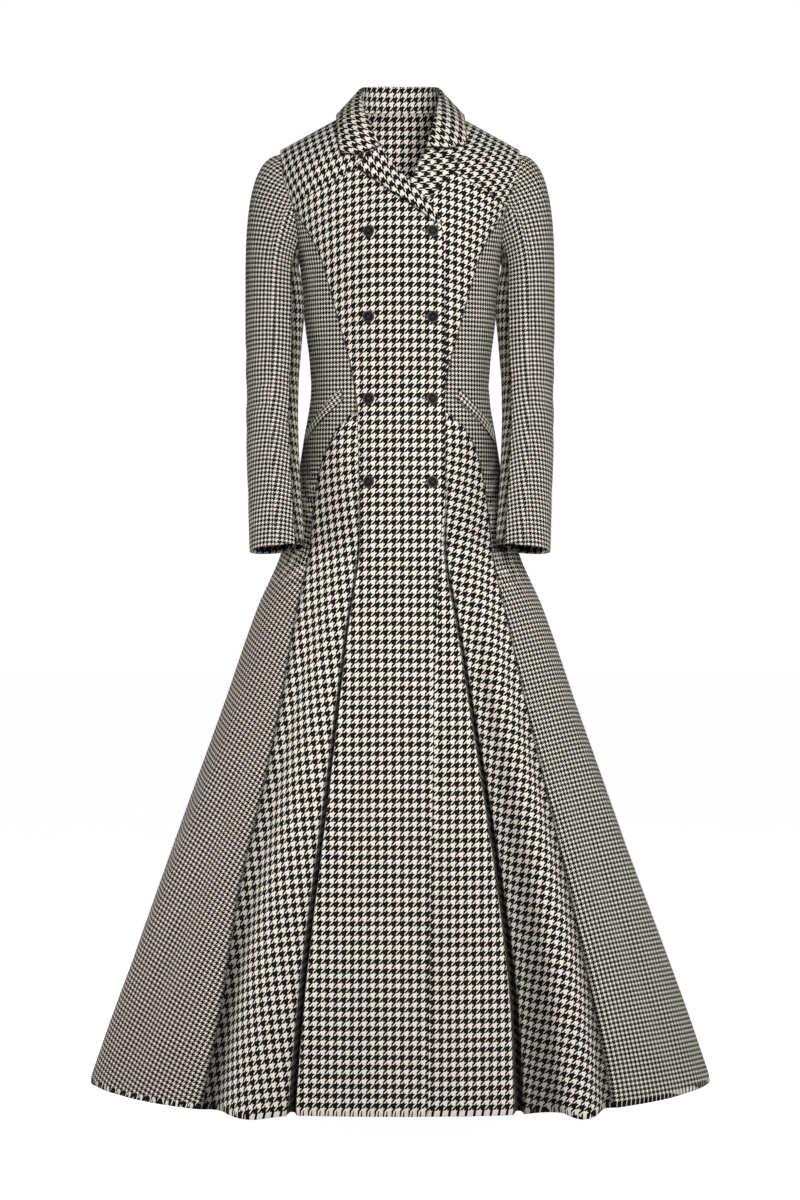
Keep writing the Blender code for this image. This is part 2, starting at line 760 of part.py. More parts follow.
def add_sleeve(side, word, columns):
    """Top sleeve and under sleeve, cut from one tube."""
    grid, turns = sleeve_grid(side, columns)
    normals = grid_normals(grid, True)
    middle = grid.mean(axis=0)
    if np.sum(normals * (grid - middle)) < 0:
        normals = -normals
    under = [k for k, turn in enumerate(turns) if UNDER_SLEEVE_FROM < turn < UNDER_SLEEVE_TO]
    first, last = under[0], under[-1]
    count = len(turns)
    top = [k % count for k in range(last, first + count + 1)]
    for name, order, slot in (("top", top, "small_check"), ("under", under, "large_check")):
        points, out = grid[order].copy(), normals[order]
        for end, beside in ((0, 1), (-1, -2)):
            inward = points[beside] - points[end]
            inward /= np.linalg.norm(inward, axis=1, keepdims=True)
            points[end] += inward * SEAM_GAP / 2
        add_grid_cloth(f"sleeve_{name}_{word}", points, out, slot, 0.0, -CLOTH)


def add_button(name, x, height):
    """Round button lying on the right front."""
    mesh = bmesh.new()
    corners = [mesh.verts.new((radius, 0, z)) for radius, z in BUTTON_SECTION]
    edges = [mesh.edges.new(pair) for pair in zip(corners, corners[1:])]
    bmesh.ops.spin(
        mesh, geom=corners + edges, cent=(0, 0, 0), axis=(0, 0, 1), angle=2 * math.pi,
        steps=BUTTON_SIDES, use_merge=True,
    )
    bmesh.ops.remove_doubles(mesh, verts=mesh.verts[:], dist=0.00001)
    rim = []
    for k in range(8):
        turn = math.pi / 4 * k
        rim.append(front_face(x + BUTTON_RADIUS * math.cos(turn), height + BUTTON_RADIUS * math.sin(turn)))
    centre = np.mean(rim, axis=0)
    normal = np.cross(rim[0] - rim[4], rim[2] - rim[6])
    normal /= np.linalg.norm(normal)
    rise = max(np.dot(point - centre, normal) for point in rim + [front_face(x, height)])
    seat = Matrix.Translation(centre + normal * (rise + BUTTON_LIFT))
    tilt = Vector(normal).to_track_quat("Z", "Y").to_matrix().to_4x4()
    bmesh.ops.transform(mesh, matrix=seat @ tilt, verts=mesh.verts[:])
    return add_piece(name, mesh, "button")


def build():
    for old in list(bpy.data.objects):
        bpy.data.objects.remove(old)
    front_columns, gore_columns, side_columns = 12, 16, 11
    for side, word in ((-1, "right"), (1, "left")):
        place, rows = place_front(side, front_columns, 0, ARMHOLE_ROWS)
        add_cloth(f"yoke_{word}", place, front_columns, rows, "large_check")
        place, rows = place_front(side, front_columns, ARMHOLE_ROWS, len(panel_rows()) - 1)
        add_cloth(f"front_{word}", place, front_columns, rows, "large_check")
        place, rows = place_gore(side, gore_columns)
        add_cloth(f"gore_{word}", place, gore_columns, rows, "large_check")
        place, rows = place_side(side, side_columns)
        add_cloth(f"side_{word}", place, side_columns, rows, "small_check")
        add_sleeve(side, word, side_columns)
        grid = lapel_grid(side)
        normals = grid_normals(grid, False)
        add_grid_cloth(f"lapel_{word}", grid, normals, "large_check", CLOTH / 2, -CLOTH / 2)
        add_cloth(f"welt_{word}", welt_place(side), WELT_STEPS, 2, "small_check", CLOTH, 0.0)
    place, columns, rows = place_back()
    add_cloth("back", place, columns, rows, "large_check")
    grid = collar_grid()
    add_grid_cloth("collar", grid, grid_normals(grid, False), "large_check", CLOTH / 2, -CLOTH / 2)
    for word, x in (("right", BUTTON_COLUMN_RIGHT), ("left", BUTTON_COLUMN_LEFT)):
        for number, height in enumerate(BUTTON_HEIGHTS, 1):
            add_button(f"button_{word}_{number}", x, height)


build()
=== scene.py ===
import math

import bmesh
import bpy
import numpy as np
from mathutils import Matrix, Vector


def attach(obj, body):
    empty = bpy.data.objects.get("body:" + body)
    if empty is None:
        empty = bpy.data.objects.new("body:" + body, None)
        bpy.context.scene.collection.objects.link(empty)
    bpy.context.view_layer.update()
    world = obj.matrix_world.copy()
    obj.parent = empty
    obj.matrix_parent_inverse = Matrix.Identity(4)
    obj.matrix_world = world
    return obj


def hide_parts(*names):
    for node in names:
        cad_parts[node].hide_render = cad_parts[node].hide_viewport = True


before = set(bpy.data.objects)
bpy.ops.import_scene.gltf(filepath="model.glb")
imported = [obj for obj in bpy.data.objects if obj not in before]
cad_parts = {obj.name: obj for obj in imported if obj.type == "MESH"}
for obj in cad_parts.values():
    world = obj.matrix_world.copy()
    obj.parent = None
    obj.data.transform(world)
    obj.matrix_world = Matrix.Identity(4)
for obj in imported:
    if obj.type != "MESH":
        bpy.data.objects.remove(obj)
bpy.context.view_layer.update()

# Long double-breasted coat. Metres, front towards -Y, right is the wearer's (-X).
# Angles go round the body in degrees from the front centre, + towards +X.
sides = ((-1, "right"), (1, "left"))

coat = {
    "cloth": 0.002,
    "shoulderSlope": 0.555,
    "shoulderPoint": 0.097,
    "roundFront": 0.085,
    "roundBack": 0.062,
    "neckRound": 0.04,
    "waist": -0.44,
    "hem": -1.461,
    "hemSideRise": 0.021,
    "foldDrop": 0.3,
    "hemTurn": 0.016,
    "hemCurl": 0.0025,
    "leastRadius": 0.01,
    # height, half width, depth in front, depth behind, squareness
    "rings": (
        (0.06, 0.186, 0.054, 0.07, 2.4),
        (0.0, 0.19, 0.068, 0.078, 2.4),
        (-0.06, 0.189, 0.09, 0.092, 2.4),
        (-0.13, 0.172, 0.112, 0.101, 2.4),
        (-0.18, 0.158, 0.124, 0.103, 2.4),
        (-0.23, 0.149, 0.129, 0.101, 2.3),
        (-0.3075, 0.1425, 0.119, 0.094, 2.2),
        (-0.36, 0.1358, 0.106, 0.088, 2.2),
        (-0.393, 0.1342, 0.101, 0.086, 2.2),
        (-0.4275, 0.1354, 0.103, 0.09, 2.2),
        (-0.4725, 0.143, 0.112, 0.102, 2.2),
        (-0.56, 0.1575, 0.131, 0.13, 2.1),
        (-0.6525, 0.179, 0.152, 0.158, 2.0),
        (-0.735, 0.2145, 0.17, 0.184, 2.0),
        (-0.885, 0.266, 0.202, 0.226, 2.0),
        (-1.11, 0.346, 0.247, 0.287, 2.0),
        (-1.335, 0.425, 0.29, 0.343, 2.0),
        (-1.461, 0.466, 0.313, 0.373, 2.0),
    ),
}

seams = {
    # height, angle right, left
    "gore": (
        (-0.44, 24.7, 24.7), (-0.56, 21.0, 24.0), (-0.66, 19.5, 21.1), (-0.8, 19.8, 22.1),
        (-1.0, 19.7, 23.2), (-1.25, 19.7, 23.0), (-1.461, 18.9, 20.8),
    ),
    "hip": (
        (-0.44, 25.6, 25.6), (-0.449, 31.0, 31.8), (-0.4645, 38.2, 39.4), (-0.4925, 45.0, 47.2),
        (-0.524, 50.2, 51.4), (-0.583, 51.5, 52.5), (-0.65, 49.0, 50.0), (-0.7156, 46.0, 46.6),
        (-0.851, 42.4, 45.0), (-1.0, 41.0, 44.2), (-1.136, 40.9, 43.5), (-1.309, 38.4, 42.4),
        (-1.461, 38.0, 41.5),
    ),
    # height, distance from the centre line
    "princess": (
        (-0.1337, 0.1592), (-0.157, 0.146), (-0.19, 0.1275), (-0.22, 0.1155), (-0.2822, 0.0975),
        (-0.3271, 0.085), (-0.3651, 0.0745), (-0.4123, 0.0655), (-0.44, 0.0627),
    ),
    # height, angle from the back centre
    "back": ((-0.44, 25.2), (-0.56, 31.0), (-0.7, 35.0), (-1.0, 38.0), (-1.461, 40.0)),
    # height, distance from the centre line
    "armhole": ((-0.0461, 0.18), (-0.082, 0.1755), (-0.11, 0.1675), (-0.1337, 0.1592)),
    # height, X of the front edges
    "rightEdge": (
        (0.015, -0.07), (0.002, -0.0635), (-0.012, -0.0555), (-0.033, -0.044), (-0.0492, -0.0345),
        (-0.0795, -0.0142), (-0.1085, 0.0122), (-0.1425, 0.0404), (-0.173, 0.061), (-0.21, 0.063),
        (-0.3, 0.0645), (-0.43, 0.066), (-0.55, 0.0655), (-0.62, 0.06), (-0.72, 0.054),
        (-1.05, 0.0464), (-1.461, 0.04),
    ),
    "leftEdge": (
        (0.015, 0.07), (0.002, 0.0645), (-0.012, 0.058), (-0.033, 0.05), (-0.0525, 0.0425),
        (-0.0795, 0.0293), (-0.1055, 0.0142), (-0.14, -0.004), (-0.173, -0.0207), (-0.21, -0.036),
        (-0.25, -0.045), (-0.3, -0.048), (-0.55, -0.046), (-0.64, -0.042), (-0.72, -0.043),
        (-1.05, -0.043), (-1.461, -0.04),
    ),
    # height, how far the right front lies out over the left one, width of the rise
    "lap": (
        (0.013, 0.0, 0.05), (-0.05, 0.002, 0.05), (-0.1, 0.007, 0.06), (-0.19, 0.007, 0.06),
        (-0.26, 0.005, 0.045), (-0.34, 0.0044, 0.026), (-0.4, 0.0034, 0.012), (-0.6, 0.003, 0.01),
        (-0.9, 0.003, 0.025), (-1.461, 0.003, 0.035),
    ),
    # height at the outer edge, height at the inner edge; level from the sixteenth row on
    "rows": (
        (-0.0461, 0.015), (-0.048, 0.012), (-0.0545, 0.003), (-0.066, -0.012), (-0.085, -0.027),
        (-0.103, -0.04), (-0.12, -0.051), (-0.1337, -0.0605), (-0.157, -0.085), (-0.19, -0.113),
        (-0.22, -0.142), (-0.25, -0.175), (-0.2822, -0.225), (-0.3271, -0.29), (-0.3651, -0.352),
        *((height, height) for height in (
            -0.403, -0.422, -0.44, -0.449, -0.4645, -0.4925, -0.524, -0.56, -0.605, -0.66,
            -0.72, -0.8, -0.89, -0.98, -1.07, -1.17, -1.27, -1.37, -1.461,
        )),
    ),
    "yokeRow": 7,
    "waistRow": 17,
    "lastRow": 33,
    "lapPast": 0.001,  # the rise ends this far before the left front's edge
    "underarm": -0.215,
    "neckHalf": 0.07,
    "neckEnds": 0.015,
    "neckCentre": 0.018,
}

folds = {
    # angle out from the gore seam, depth at the hem, half width, start height
    "right": ((0.62, -0.048, 0.42, -0.48), (9.0, 0.022, 5.5, -0.6), (16.5, -0.02, 2.1, -0.7)),
    "left": (
        (0.8, -0.052, 0.55, -0.48), (6.0, -0.022, 4.0, -0.55), (14.0, 0.03, 5.0, -0.58),
        (19.5, -0.018, 1.6, -0.72),
    ),
    "growth": 0.9,  # power of the way down from the start
    # painted shade in the cloth's colour: depth at which a crease, the cloth beside it and a valley lie in
    # shadow
    "creaseDark": 0.016,
    "besideDark": 0.09,
    "besideWider": 4.5,
    "valleyDark": 0.032,
    "valleyMost": 0.55,
    # painted shade beside the hip seam
    "hipDark": (0.6, 0.2),  # right, left, beside the hip seam
    "hipHalf": 2.6,
    # angle, depth at the hem, half width, start height
    "rear": (
        (-118.0, -0.022, 8.0, -0.65), (121.0, -0.02, 8.0, -0.68), (-136.0, 0.022, 8.0, -0.65),
        (138.0, 0.02, 8.0, -0.62), (-154.0, -0.034, 6.5, -0.6), (157.0, -0.036, 6.5, -0.58),
        (-176.0, 0.024, 10.0, -0.6), (184.0, 0.024, 10.0, -0.6),
    ),
    "softReach": (0.13, 0.22, 0.8),  # radius at the waist, what it gains below, over what height
    # soft creases: angle, height, half length, half width, tilt, depth
    "soft": (
        (-62.0, -0.35, 0.045, 0.01, 40.0, -0.0016), (64.0, -0.356, 0.045, 0.01, -42.0, -0.0016),
        (-80.0, -0.385, 0.05, 0.009, 68.0, -0.001), (82.0, -0.392, 0.05, 0.009, -66.0, -0.001),
        (-96.0, -0.41, 0.06, 0.012, 80.0, -0.0006), (100.0, -0.405, 0.06, 0.012, -80.0, -0.0006),
        (-124.0, -0.395, 0.06, 0.01, -74.0, -0.002), (128.0, -0.402, 0.06, 0.01, 72.0, -0.002),
        (-150.0, -0.372, 0.055, 0.011, -60.0, -0.0018), (152.0, -0.38, 0.055, 0.011, 62.0, -0.0018),
        (-58.0, -0.23, 0.05, 0.012, 55.0, -0.0016), (58.0, -0.236, 0.05, 0.012, -52.0, -0.0016),
        (-165.0, -0.15, 0.07, 0.016, 20.0, -0.0018), (166.0, -0.158, 0.07, 0.016, -18.0, -0.0018),
        (-8.0, -0.64, 0.06, 0.014, 8.0, -0.0014), (6.0, -0.78, 0.12, 0.02, -3.0, -0.0018),
        (-12.0, -1.15, 0.26, 0.026, 2.0, -0.003), (3.0, -1.3, 0.2, 0.024, -2.0, -0.0026),
        (-58.0, -1.2, 0.3, 0.026, 7.0, -0.0045), (60.0, -1.22, 0.3, 0.026, -7.0, -0.0045),
        (-72.0, -1.15, 0.32, 0.03, 9.0, 0.004), (75.0, -1.13, 0.32, 0.03, -9.0, 0.004),
        (-88.0, -1.25, 0.26, 0.028, 8.0, -0.004), (92.0, -1.24, 0.26, 0.028, -8.0, -0.004),
    ),
}


def hermite(t, start, leave, end, arrive):  # a cubic between two places, and the ways it leaves and arrives
    first = start * (1 + 2 * t) * (1 - t) ** 2 + leave * t * (1 - t) ** 2
    last = end * t * t * (3 - 2 * t) + arrive * t * t * (t - 1)
    return first + last


def along(table, at):  # columns after the first, on a smooth curve through the rows
    rows = np.array(sorted(table), float)
    keys, values = rows[:, 0], rows[:, 1:]
    count = len(keys)
    at = np.clip(np.asarray(at, float), keys[0], keys[-1])
    low = np.maximum(np.arange(count) - 1, 0)
    high = np.minimum(np.arange(count) + 1, count - 1)
    slopes = (values[high] - values[low]) / (keys[high] - keys[low])[:, None]
    i = np.clip(np.searchsorted(keys, at, side="right") - 1, 0, count - 2)
    span = (keys[i + 1] - keys[i])[..., None]
    t = (at - keys[i])[..., None] / span
    curve = hermite(t, values[i], slopes[i] * span, values[i + 1], slopes[i + 1] * span)
    return np.moveaxis(curve, -1, 0)


def smoothStep(t):
    t = np.clip(t, 0.0, 1.0)
    return t * t * (3 - 2 * t)


def signedPower(value, power):
    return np.sign(value) * np.abs(value) ** power


def lengths(steps):
    return np.linalg.norm(steps, axis=-1)


def unit(vectors):
    return vectors / np.linalg.norm(vectors, axis=-1, keepdims=True)


def shoulderHeight(x):
    away = np.abs(x)
    rounded = (away * away / coat["neckRound"] + coat["neckRound"]) / 2
    away = np.where(away < coat["neckRound"], rounded, away)
    return coat["shoulderSlope"] * (coat["shoulderPoint"] - away)


def shoulderClosing(x, height, roundOver):
    t = np.clip((shoulderHeight(x) - height) / roundOver, 0.0, 1.0)
    return np.sqrt(1 - (1 - t) ** 2)


def foldSum(gathered, angle, height):
    total = np.zeros(np.shape(angle))
    for centre, depth, half, start in gathered:
        grown = (np.clip(start - height, 0.0, None) / (start - coat["hem"])) ** folds["growth"]
        away = (angle - centre + 180) % 360 - 180
        total = total + depth * grown * np.exp(-((away / half) ** 2))
    return total


def foldDepths(angle, height, lapped):  # forward in the front folds, outward in the others
    right, left = along(seams["gore"], height)
    front = [(-right - out, depth, half, start) for out, depth, half, start in folds["right"]]
    if not lapped:
        front += [(left + out, depth, half, start) for out, depth, half, start in folds["left"]]
    return foldSum(front, angle, height), foldSum(folds["rear"], angle, height)


def softCrease(angle, height):
    total = np.zeros(np.shape(angle))
    radius, gain, over = folds["softReach"]
    for centre, level, length, width, tilt, depth in folds["soft"]:
        reach = radius + gain * smoothStep((coat["waist"] - level) / over)
        across = np.radians((angle - centre + 180) % 360 - 180) * reach
        down = height - level
        turn = math.radians(tilt)
        lengthwise = down * math.cos(turn) + across * math.sin(turn)
        sidewise = across * math.cos(turn) - down * math.sin(turn)
        total = total + depth * np.exp(-((sidewise / width) ** 2) - (lengthwise / length) ** 2)
    turned = np.clip((coat["hem"] + coat["hemTurn"] - height) / coat["hemTurn"], 0.0, 1.0)
    return total - coat["hemCurl"] * turned ** 2


def bodyPoint(angle, height, lapped=False):
    angle, height = np.broadcast_arrays(np.asarray(angle, float), np.asarray(height, float))
    halfWidth, front, back, square = along(coat["rings"], height)
    sine, cosine = np.sin(np.radians(angle)), np.cos(np.radians(angle))
    x = halfWidth * signedPower(sine, 2 / square)
    inFront = front * shoulderClosing(x, height, coat["roundFront"])
    behind = back * shoulderClosing(x, height, coat["roundBack"])
    y = -signedPower(cosine, 2 / square) * np.where(cosine > 0, inFront, behind)
    below = height < coat["waist"]
    forward, outward = (np.where(below, fold, 0.0) for fold in foldDepths(angle, height, lapped))
    out = 1 + outward / np.maximum(np.hypot(x, y), coat["leastRadius"])
    down = np.clip((coat["waist"] - height) / (coat["waist"] - coat["hem"]), 0.0, None)
    z = height + coat["hemSideRise"] * sine ** 4 * down ** 2
    z = z - coat["foldDrop"] * np.maximum(forward + outward, 0.0)
    return np.stack((x * out, y * out - forward, z), axis=-1)


def onBody(angle, height, lift=0.0, lapped=False):  # points out from the form, and the way out
    turn, rise = 0.01, 0.00005
    roundBody = bodyPoint(angle + turn, height, lapped) - bodyPoint(angle - turn, height, lapped)
    upBody = bodyPoint(angle, height + rise, lapped) - bodyPoint(angle, height - rise, lapped)
    normal = unit(np.cross(roundBody, upBody))
    lift = lift + softCrease(angle, height)
    return bodyPoint(angle, height, lapped) + normal * np.asarray(lift)[..., None], normal


def angleAt(x, height, behind=False):
    halfWidth, _, _, square = along(coat["rings"], height)
    angle = np.degrees(np.arcsin(np.minimum(np.abs(x) / halfWidth, 1.0) ** (square / 2)))
    if behind:
        angle = 180 - angle
    return np.copysign(angle, x)


def xAt(angle, height):
    halfWidth, _, _, square = along(coat["rings"], height)
    return halfWidth * signedPower(np.sin(np.radians(angle)), 2 / square)


def seamAngle(name, side, height):
    right, left = along(seams[name], height)
    return right if side < 0 else left


def upperSeamX(height):  # the armhole, and the princess seam under it
    return np.where(height > seams["princess"][0][0], along(seams["armhole"], height)[0],
                    along(seams["princess"], height)[0])


def frontSeamX(side, height):
    return np.where(height > coat["waist"], upperSeamX(height), xAt(seamAngle("gore", side, height), height))


def lapLift(x, height):
    edge = along(seams["leftEdge"], height)[0]
    lift, ramp = along(seams["lap"], height)
    return lift * smoothStep((x - edge + seams["lapPast"]) / ramp + 1)


def frontFace(x, height):
    return onBody(angleAt(x, height), height, lapLift(x, height), True)[0]


def rowSteps(first, last, step):  # fine rows between two of the table's rows
    rows = np.array(seams["rows"])
    steps = [float(first)]
    for j in range(first, last):
        count = max(1, math.ceil(np.abs(rows[j + 1] - rows[j]).max() / step))
        steps += [j + (k + 1) / count for k in range(count)]
    return np.array(steps)


def gridOf(columns, rows):
    return np.meshgrid(np.linspace(0, 1, columns + 1), rows, indexing="ij")


def rowHeights(j):
    rows = np.array(seams["rows"])
    return [np.interp(j, np.arange(len(rows)), column) for column in rows.T]


panels = {
    "yokeColumns": 44,
    "frontColumns": 56,
    "goreColumns": 64,
    "sideColumns": 72,
    "backColumns": 84,
    # tallest row
    "frontStep": 0.008,
    "sideStep": 0.009,
    "backStep": 0.01,
    # how columns crowd to the outer seam of a front and to the inner one of a gore
    "frontEase": 1.5,
    "goreEase": 1.7,
    "underarmFade": 0.16,
    "underarmRound": 2.5,
    "neckRows": 11,  # over which the back's rows bend up to the neck
    # painted shade on the hip behind the sleeve: strength; middle, half width in degrees; top, fade; foot,
    # fade
    "armPaintedShade": (0.9, 85.0, 32.0, -0.4, 0.12, -0.7, 0.08),
}

matching = {
    "roundSteps": 24,
    "downSteps": 500,
    # the fronts' check rises away from the centre: how much, from what X, down to what height, its fade
    "slack": (2.4, 0.03, -0.43, 0.18),
    "leftShift": (0.0045, 0.0032),
    "sideSteps": 48,
    # the sides' check is level above the hip: how much wider, taller, down to what height, its fade
    "sideLevel": (1.42, 1.03, -0.74, 0.22),
    "levelMeet": (0.2, -0.63),  # part of the columns and height where level and cut agree
    "sideEase": 0.15,
    "hemBelow": -1.4,
    "hemEase": 0.15,
}


def levelCut(x, height, behind=False, lapped=False):  # level way round from the centre, and the way down it
    steps = np.linspace(0, 1, matching["roundSteps"] + 1)
    level = bodyPoint(angleAt(x[..., None] * steps, height[..., None], behind), height[..., None], lapped)
    reach = lengths(np.diff(level, axis=2)).sum(axis=2)
    heights = np.linspace(coat["rings"][0][0], coat["hem"], matching["downSteps"])
    centre = bodyPoint(180.0 if behind else 0.0, heights, lapped)
    centre[:, 1] = np.where(heights > 0.0, centre[heights <= 0.0][0, 1], centre[:, 1])
    down = np.concatenate(((0.0,), np.cumsum(lengths(np.diff(centre, axis=0)))))
    way = np.interp(-height, -heights, down)
    if behind:
        return np.stack((-np.sign(x) * reach, -way), axis=-1)
    rise, start, foot, fade = matching["slack"]
    slack = rise * np.clip(np.abs(x) - start, 0.0, None) ** 2 * smoothStep((height - foot) / fade)
    return np.stack((np.sign(x) * reach, slack - way), axis=-1)


def frontGrid(side, columns, first, last):
    s, j = gridOf(columns, rowSteps(first, last, panels["frontStep"]))
    outerHeight, innerHeight = rowHeights(j)
    outer = side * frontSeamX(side, outerHeight)
    inner = along(seams["rightEdge" if side < 0 else "leftEdge"], innerHeight)[0]
    part = s ** panels["frontEase"]
    x = outer + (inner - outer) * part
    height = outerHeight + (innerHeight - outerHeight) * part
    lift = lapLift(x, height) if side < 0 else 0.0
    cut = levelCut(x, height, False, side < 0)
    if side > 0:  # the left front's check doesn't meet the right one's at the front edge
        cut = cut + matching["leftShift"]
    return *onBody(angleAt(x, height), height, lift, side < 0), cut


def goreGrid(side, columns):
    s, j = gridOf(columns, rowSteps(seams["waistRow"], seams["lastRow"], panels["frontStep"]))
    height = rowHeights(j)[0]
    inner = xAt(seamAngle("gore", side, height), height)
    outer = xAt(seamAngle("hip", side, height), height)
    x = side * (inner + (outer - inner) * s ** panels["goreEase"])
    angle = angleAt(x, height)
    return *onBody(angle, height), paintedFoldShade(side, angle, height)


def paintedFoldShade(side, angle, height):  # painted shade in the cloth's colour: 1 in the light, 0 down in the narrow crease beside the gore seam
    seam = side * seamAngle("gore", side, height)
    narrow, *broad = [(seam + side * out, depth, half, start) for out, depth, half, start in
                      folds["right" if side < 0 else "left"]]
    place, depth, half, start = narrow
    beside = foldSum([(place, depth, half * folds["besideWider"], start)], angle, height)
    valley = foldSum([fold for fold in broad if fold[1] < 0], angle, height)
    shade = foldSum([narrow], angle, height) / folds["creaseDark"] + beside / folds["besideDark"]
    fromHip = (seamAngle("hip", side, height) - side * angle) / folds["hipHalf"]
    edge = folds["hipDark"][0 if side < 0 else 1] * np.exp(-fromHip ** 2)
    return 1 + shade - edge + np.maximum(valley / folds["valleyDark"], -folds["valleyMost"])


def sideGrid(side, columns, s=None, j=None):
    if s is None:
        s, j = gridOf(columns, rowSteps(seams["yokeRow"], seams["lastRow"], panels["sideStep"]))
    height = rowHeights(j)[0]
    top = seams["rows"][seams["yokeRow"]][0]
    above = height > coat["waist"]
    princess = angleAt(along(seams["princess"], height)[0], height)
    frontAngle = np.where(above, princess, seamAngle("hip", side, height))
    backAngle = 180 - np.where(above, princess, along(seams["back"], height)[0])
    angle = frontAngle + (backAngle - frontAngle) * s
    fade = np.clip(1 - (top - height) / panels["underarmFade"], 0.0, None)
    dip = 1 - np.abs(2 * s - 1) ** panels["underarmRound"]
    height = height + (seams["underarm"] - top) * dip * fade
    return *onBody(side * angle, height), sideLevel(side * angle, height), paintedArmShade(angle, height)


def paintedArmShade(angle, height):  # painted shade in the cloth's colour: 1 in the light, lower on the hip behind the hanging sleeve
    strength, middle, half, top, topFade, foot, footFade = panels["armPaintedShade"]
    shade = strength * np.exp(-((angle - middle) / half) ** 2)
    return 1 - shade * smoothStep((top - height) / topFade) * smoothStep((height - foot) / footFade)


def sideLevel(angle, height):  # level distance round from the front centre, height, share of the level check
    steps = np.linspace(0, 1, matching["sideSteps"] + 1)
    level = bodyPoint(angle[..., None] * steps, height[..., None])
    reach = lengths(np.diff(level, axis=-2)).sum(axis=-1)
    wider, taller, foot, fade = matching["sideLevel"]
    share = smoothStep((height - foot) / fade)
    return np.stack((np.sign(angle) * reach * wider, taller * height, share), axis=-1)


def backTop(x):
    ends, centre = seams["neckEnds"], seams["neckCentre"]
    inside = centre - (centre - ends) * (x / seams["neckHalf"]) ** 2
    return np.where(np.abs(x) > seams["neckHalf"], shoulderHeight(x), inside)


def backGrid(columns):
    s, j = gridOf(columns, rowSteps(0, seams["lastRow"], panels["backStep"]))
    outerHeight = rowHeights(j)[0]
    below = xAt(along(seams["back"], outerHeight)[0], outerHeight)
    outer = np.where(outerHeight > coat["waist"], upperSeamX(outerHeight), below)
    part = 2 * s - 1
    armholeHeight, armholeX = seams["armhole"][0]
    fade = np.clip(1 - (j / panels["neckRows"]) ** 2, 0.0, None)
    height = outerHeight + (backTop(part * armholeX) - armholeHeight) * fade
    return *onBody(angleAt(part * outer, height, True), height), levelCut(part * outer, height, True)


print("form ready")

cutting = {
    "coarseColumns": 22,
    "coarseRows": 46,
    # piece: where the grain is set, as parts of the columns and rows, and its lean in the front view
    "grain": {
        "yoke_right": (0.45, 0.55, -18.0), "yoke_left": (0.45, 0.55, 24.0),
        "gore_right": (0.5, 0.6, -5.0), "gore_left": (0.5, 0.6, 6.5),
        "side_right": (0.22, 0.72, 27.0), "side_left": (0.22, 0.72, -17.0),
        "sleeve_top_right": (0.8, 0.45, 3.0), "sleeve_top_left": (0.8, 0.45, -3.0),
        "sleeve_under_right": (0.14, 0.45, 0.0), "sleeve_under_left": (0.14, 0.45, 0.0),
        "collar": (0.5, 0.2, 0.0),
        "lapel_right": (0.5, 0.6, -63.0), "lapel_left": (0.4, 0.6, 49.0),
        "welt_right": (0.5, 0.5, 45.0), "welt_left": (0.5, 0.5, -45.0),
    },
}


def meshFrom(name, bm):
    mesh = bpy.data.meshes.new(name)
    bm.to_mesh(mesh)
    bm.free()
    return mesh


def newObject(name, data):
    made = bpy.data.objects.new(name, data)
    bpy.context.scene.collection.objects.link(made)
    return made


def gridMesh(name, points):  # a grid of quads with its corners at the points
    columns, rows = points.shape[0] - 1, points.shape[1] - 1
    bm = bmesh.new()
    bmesh.ops.create_grid(bm, x_segments=columns, y_segments=rows, size=1.0)
    for vert in bm.verts:
        i = round((vert.co.x + 1) / 2 * columns)
        j = round((1 - vert.co.y) / 2 * rows)
        vert.co = points[i, j]
    return meshFrom(name, bm)


def cornerSpots(mesh, columns, rows):  # column and row of each face corner
    index = np.zeros(len(mesh.loops), np.int32)
    mesh.loops.foreach_get("vertex_index", index)
    return index % (columns + 1), rows - index // (columns + 1)


def spread(grid, columns, rows):  # a coarse grid read at a finer or coarser one, in straight lines
    i = np.linspace(0, grid.shape[0] - 1, columns + 1)
    j = np.linspace(0, grid.shape[1] - 1, rows + 1)
    i0, j0 = np.minimum(i.astype(int), grid.shape[0] - 2), np.minimum(j.astype(int), grid.shape[1] - 2)
    a, b = (i - i0)[:, None, None], (j - j0)[None, :, None]
    upper = grid[i0][:, j0] * (1 - a) + grid[i0 + 1][:, j0] * a
    lower = grid[i0][:, j0 + 1] * (1 - a) + grid[i0 + 1][:, j0 + 1] * a
    return upper * (1 - b) + lower * b


def quadAreas(grid):  # area of each quad of a grid
    first = grid[1:, 1:] - grid[:-1, :-1]
    second = grid[1:, :-1] - grid[:-1, 1:]
    if grid.shape[-1] == 2:
        return (first[..., 0] * second[..., 1] - first[..., 1] * second[..., 0]) / 2
    return lengths(np.cross(first, second)) / 2


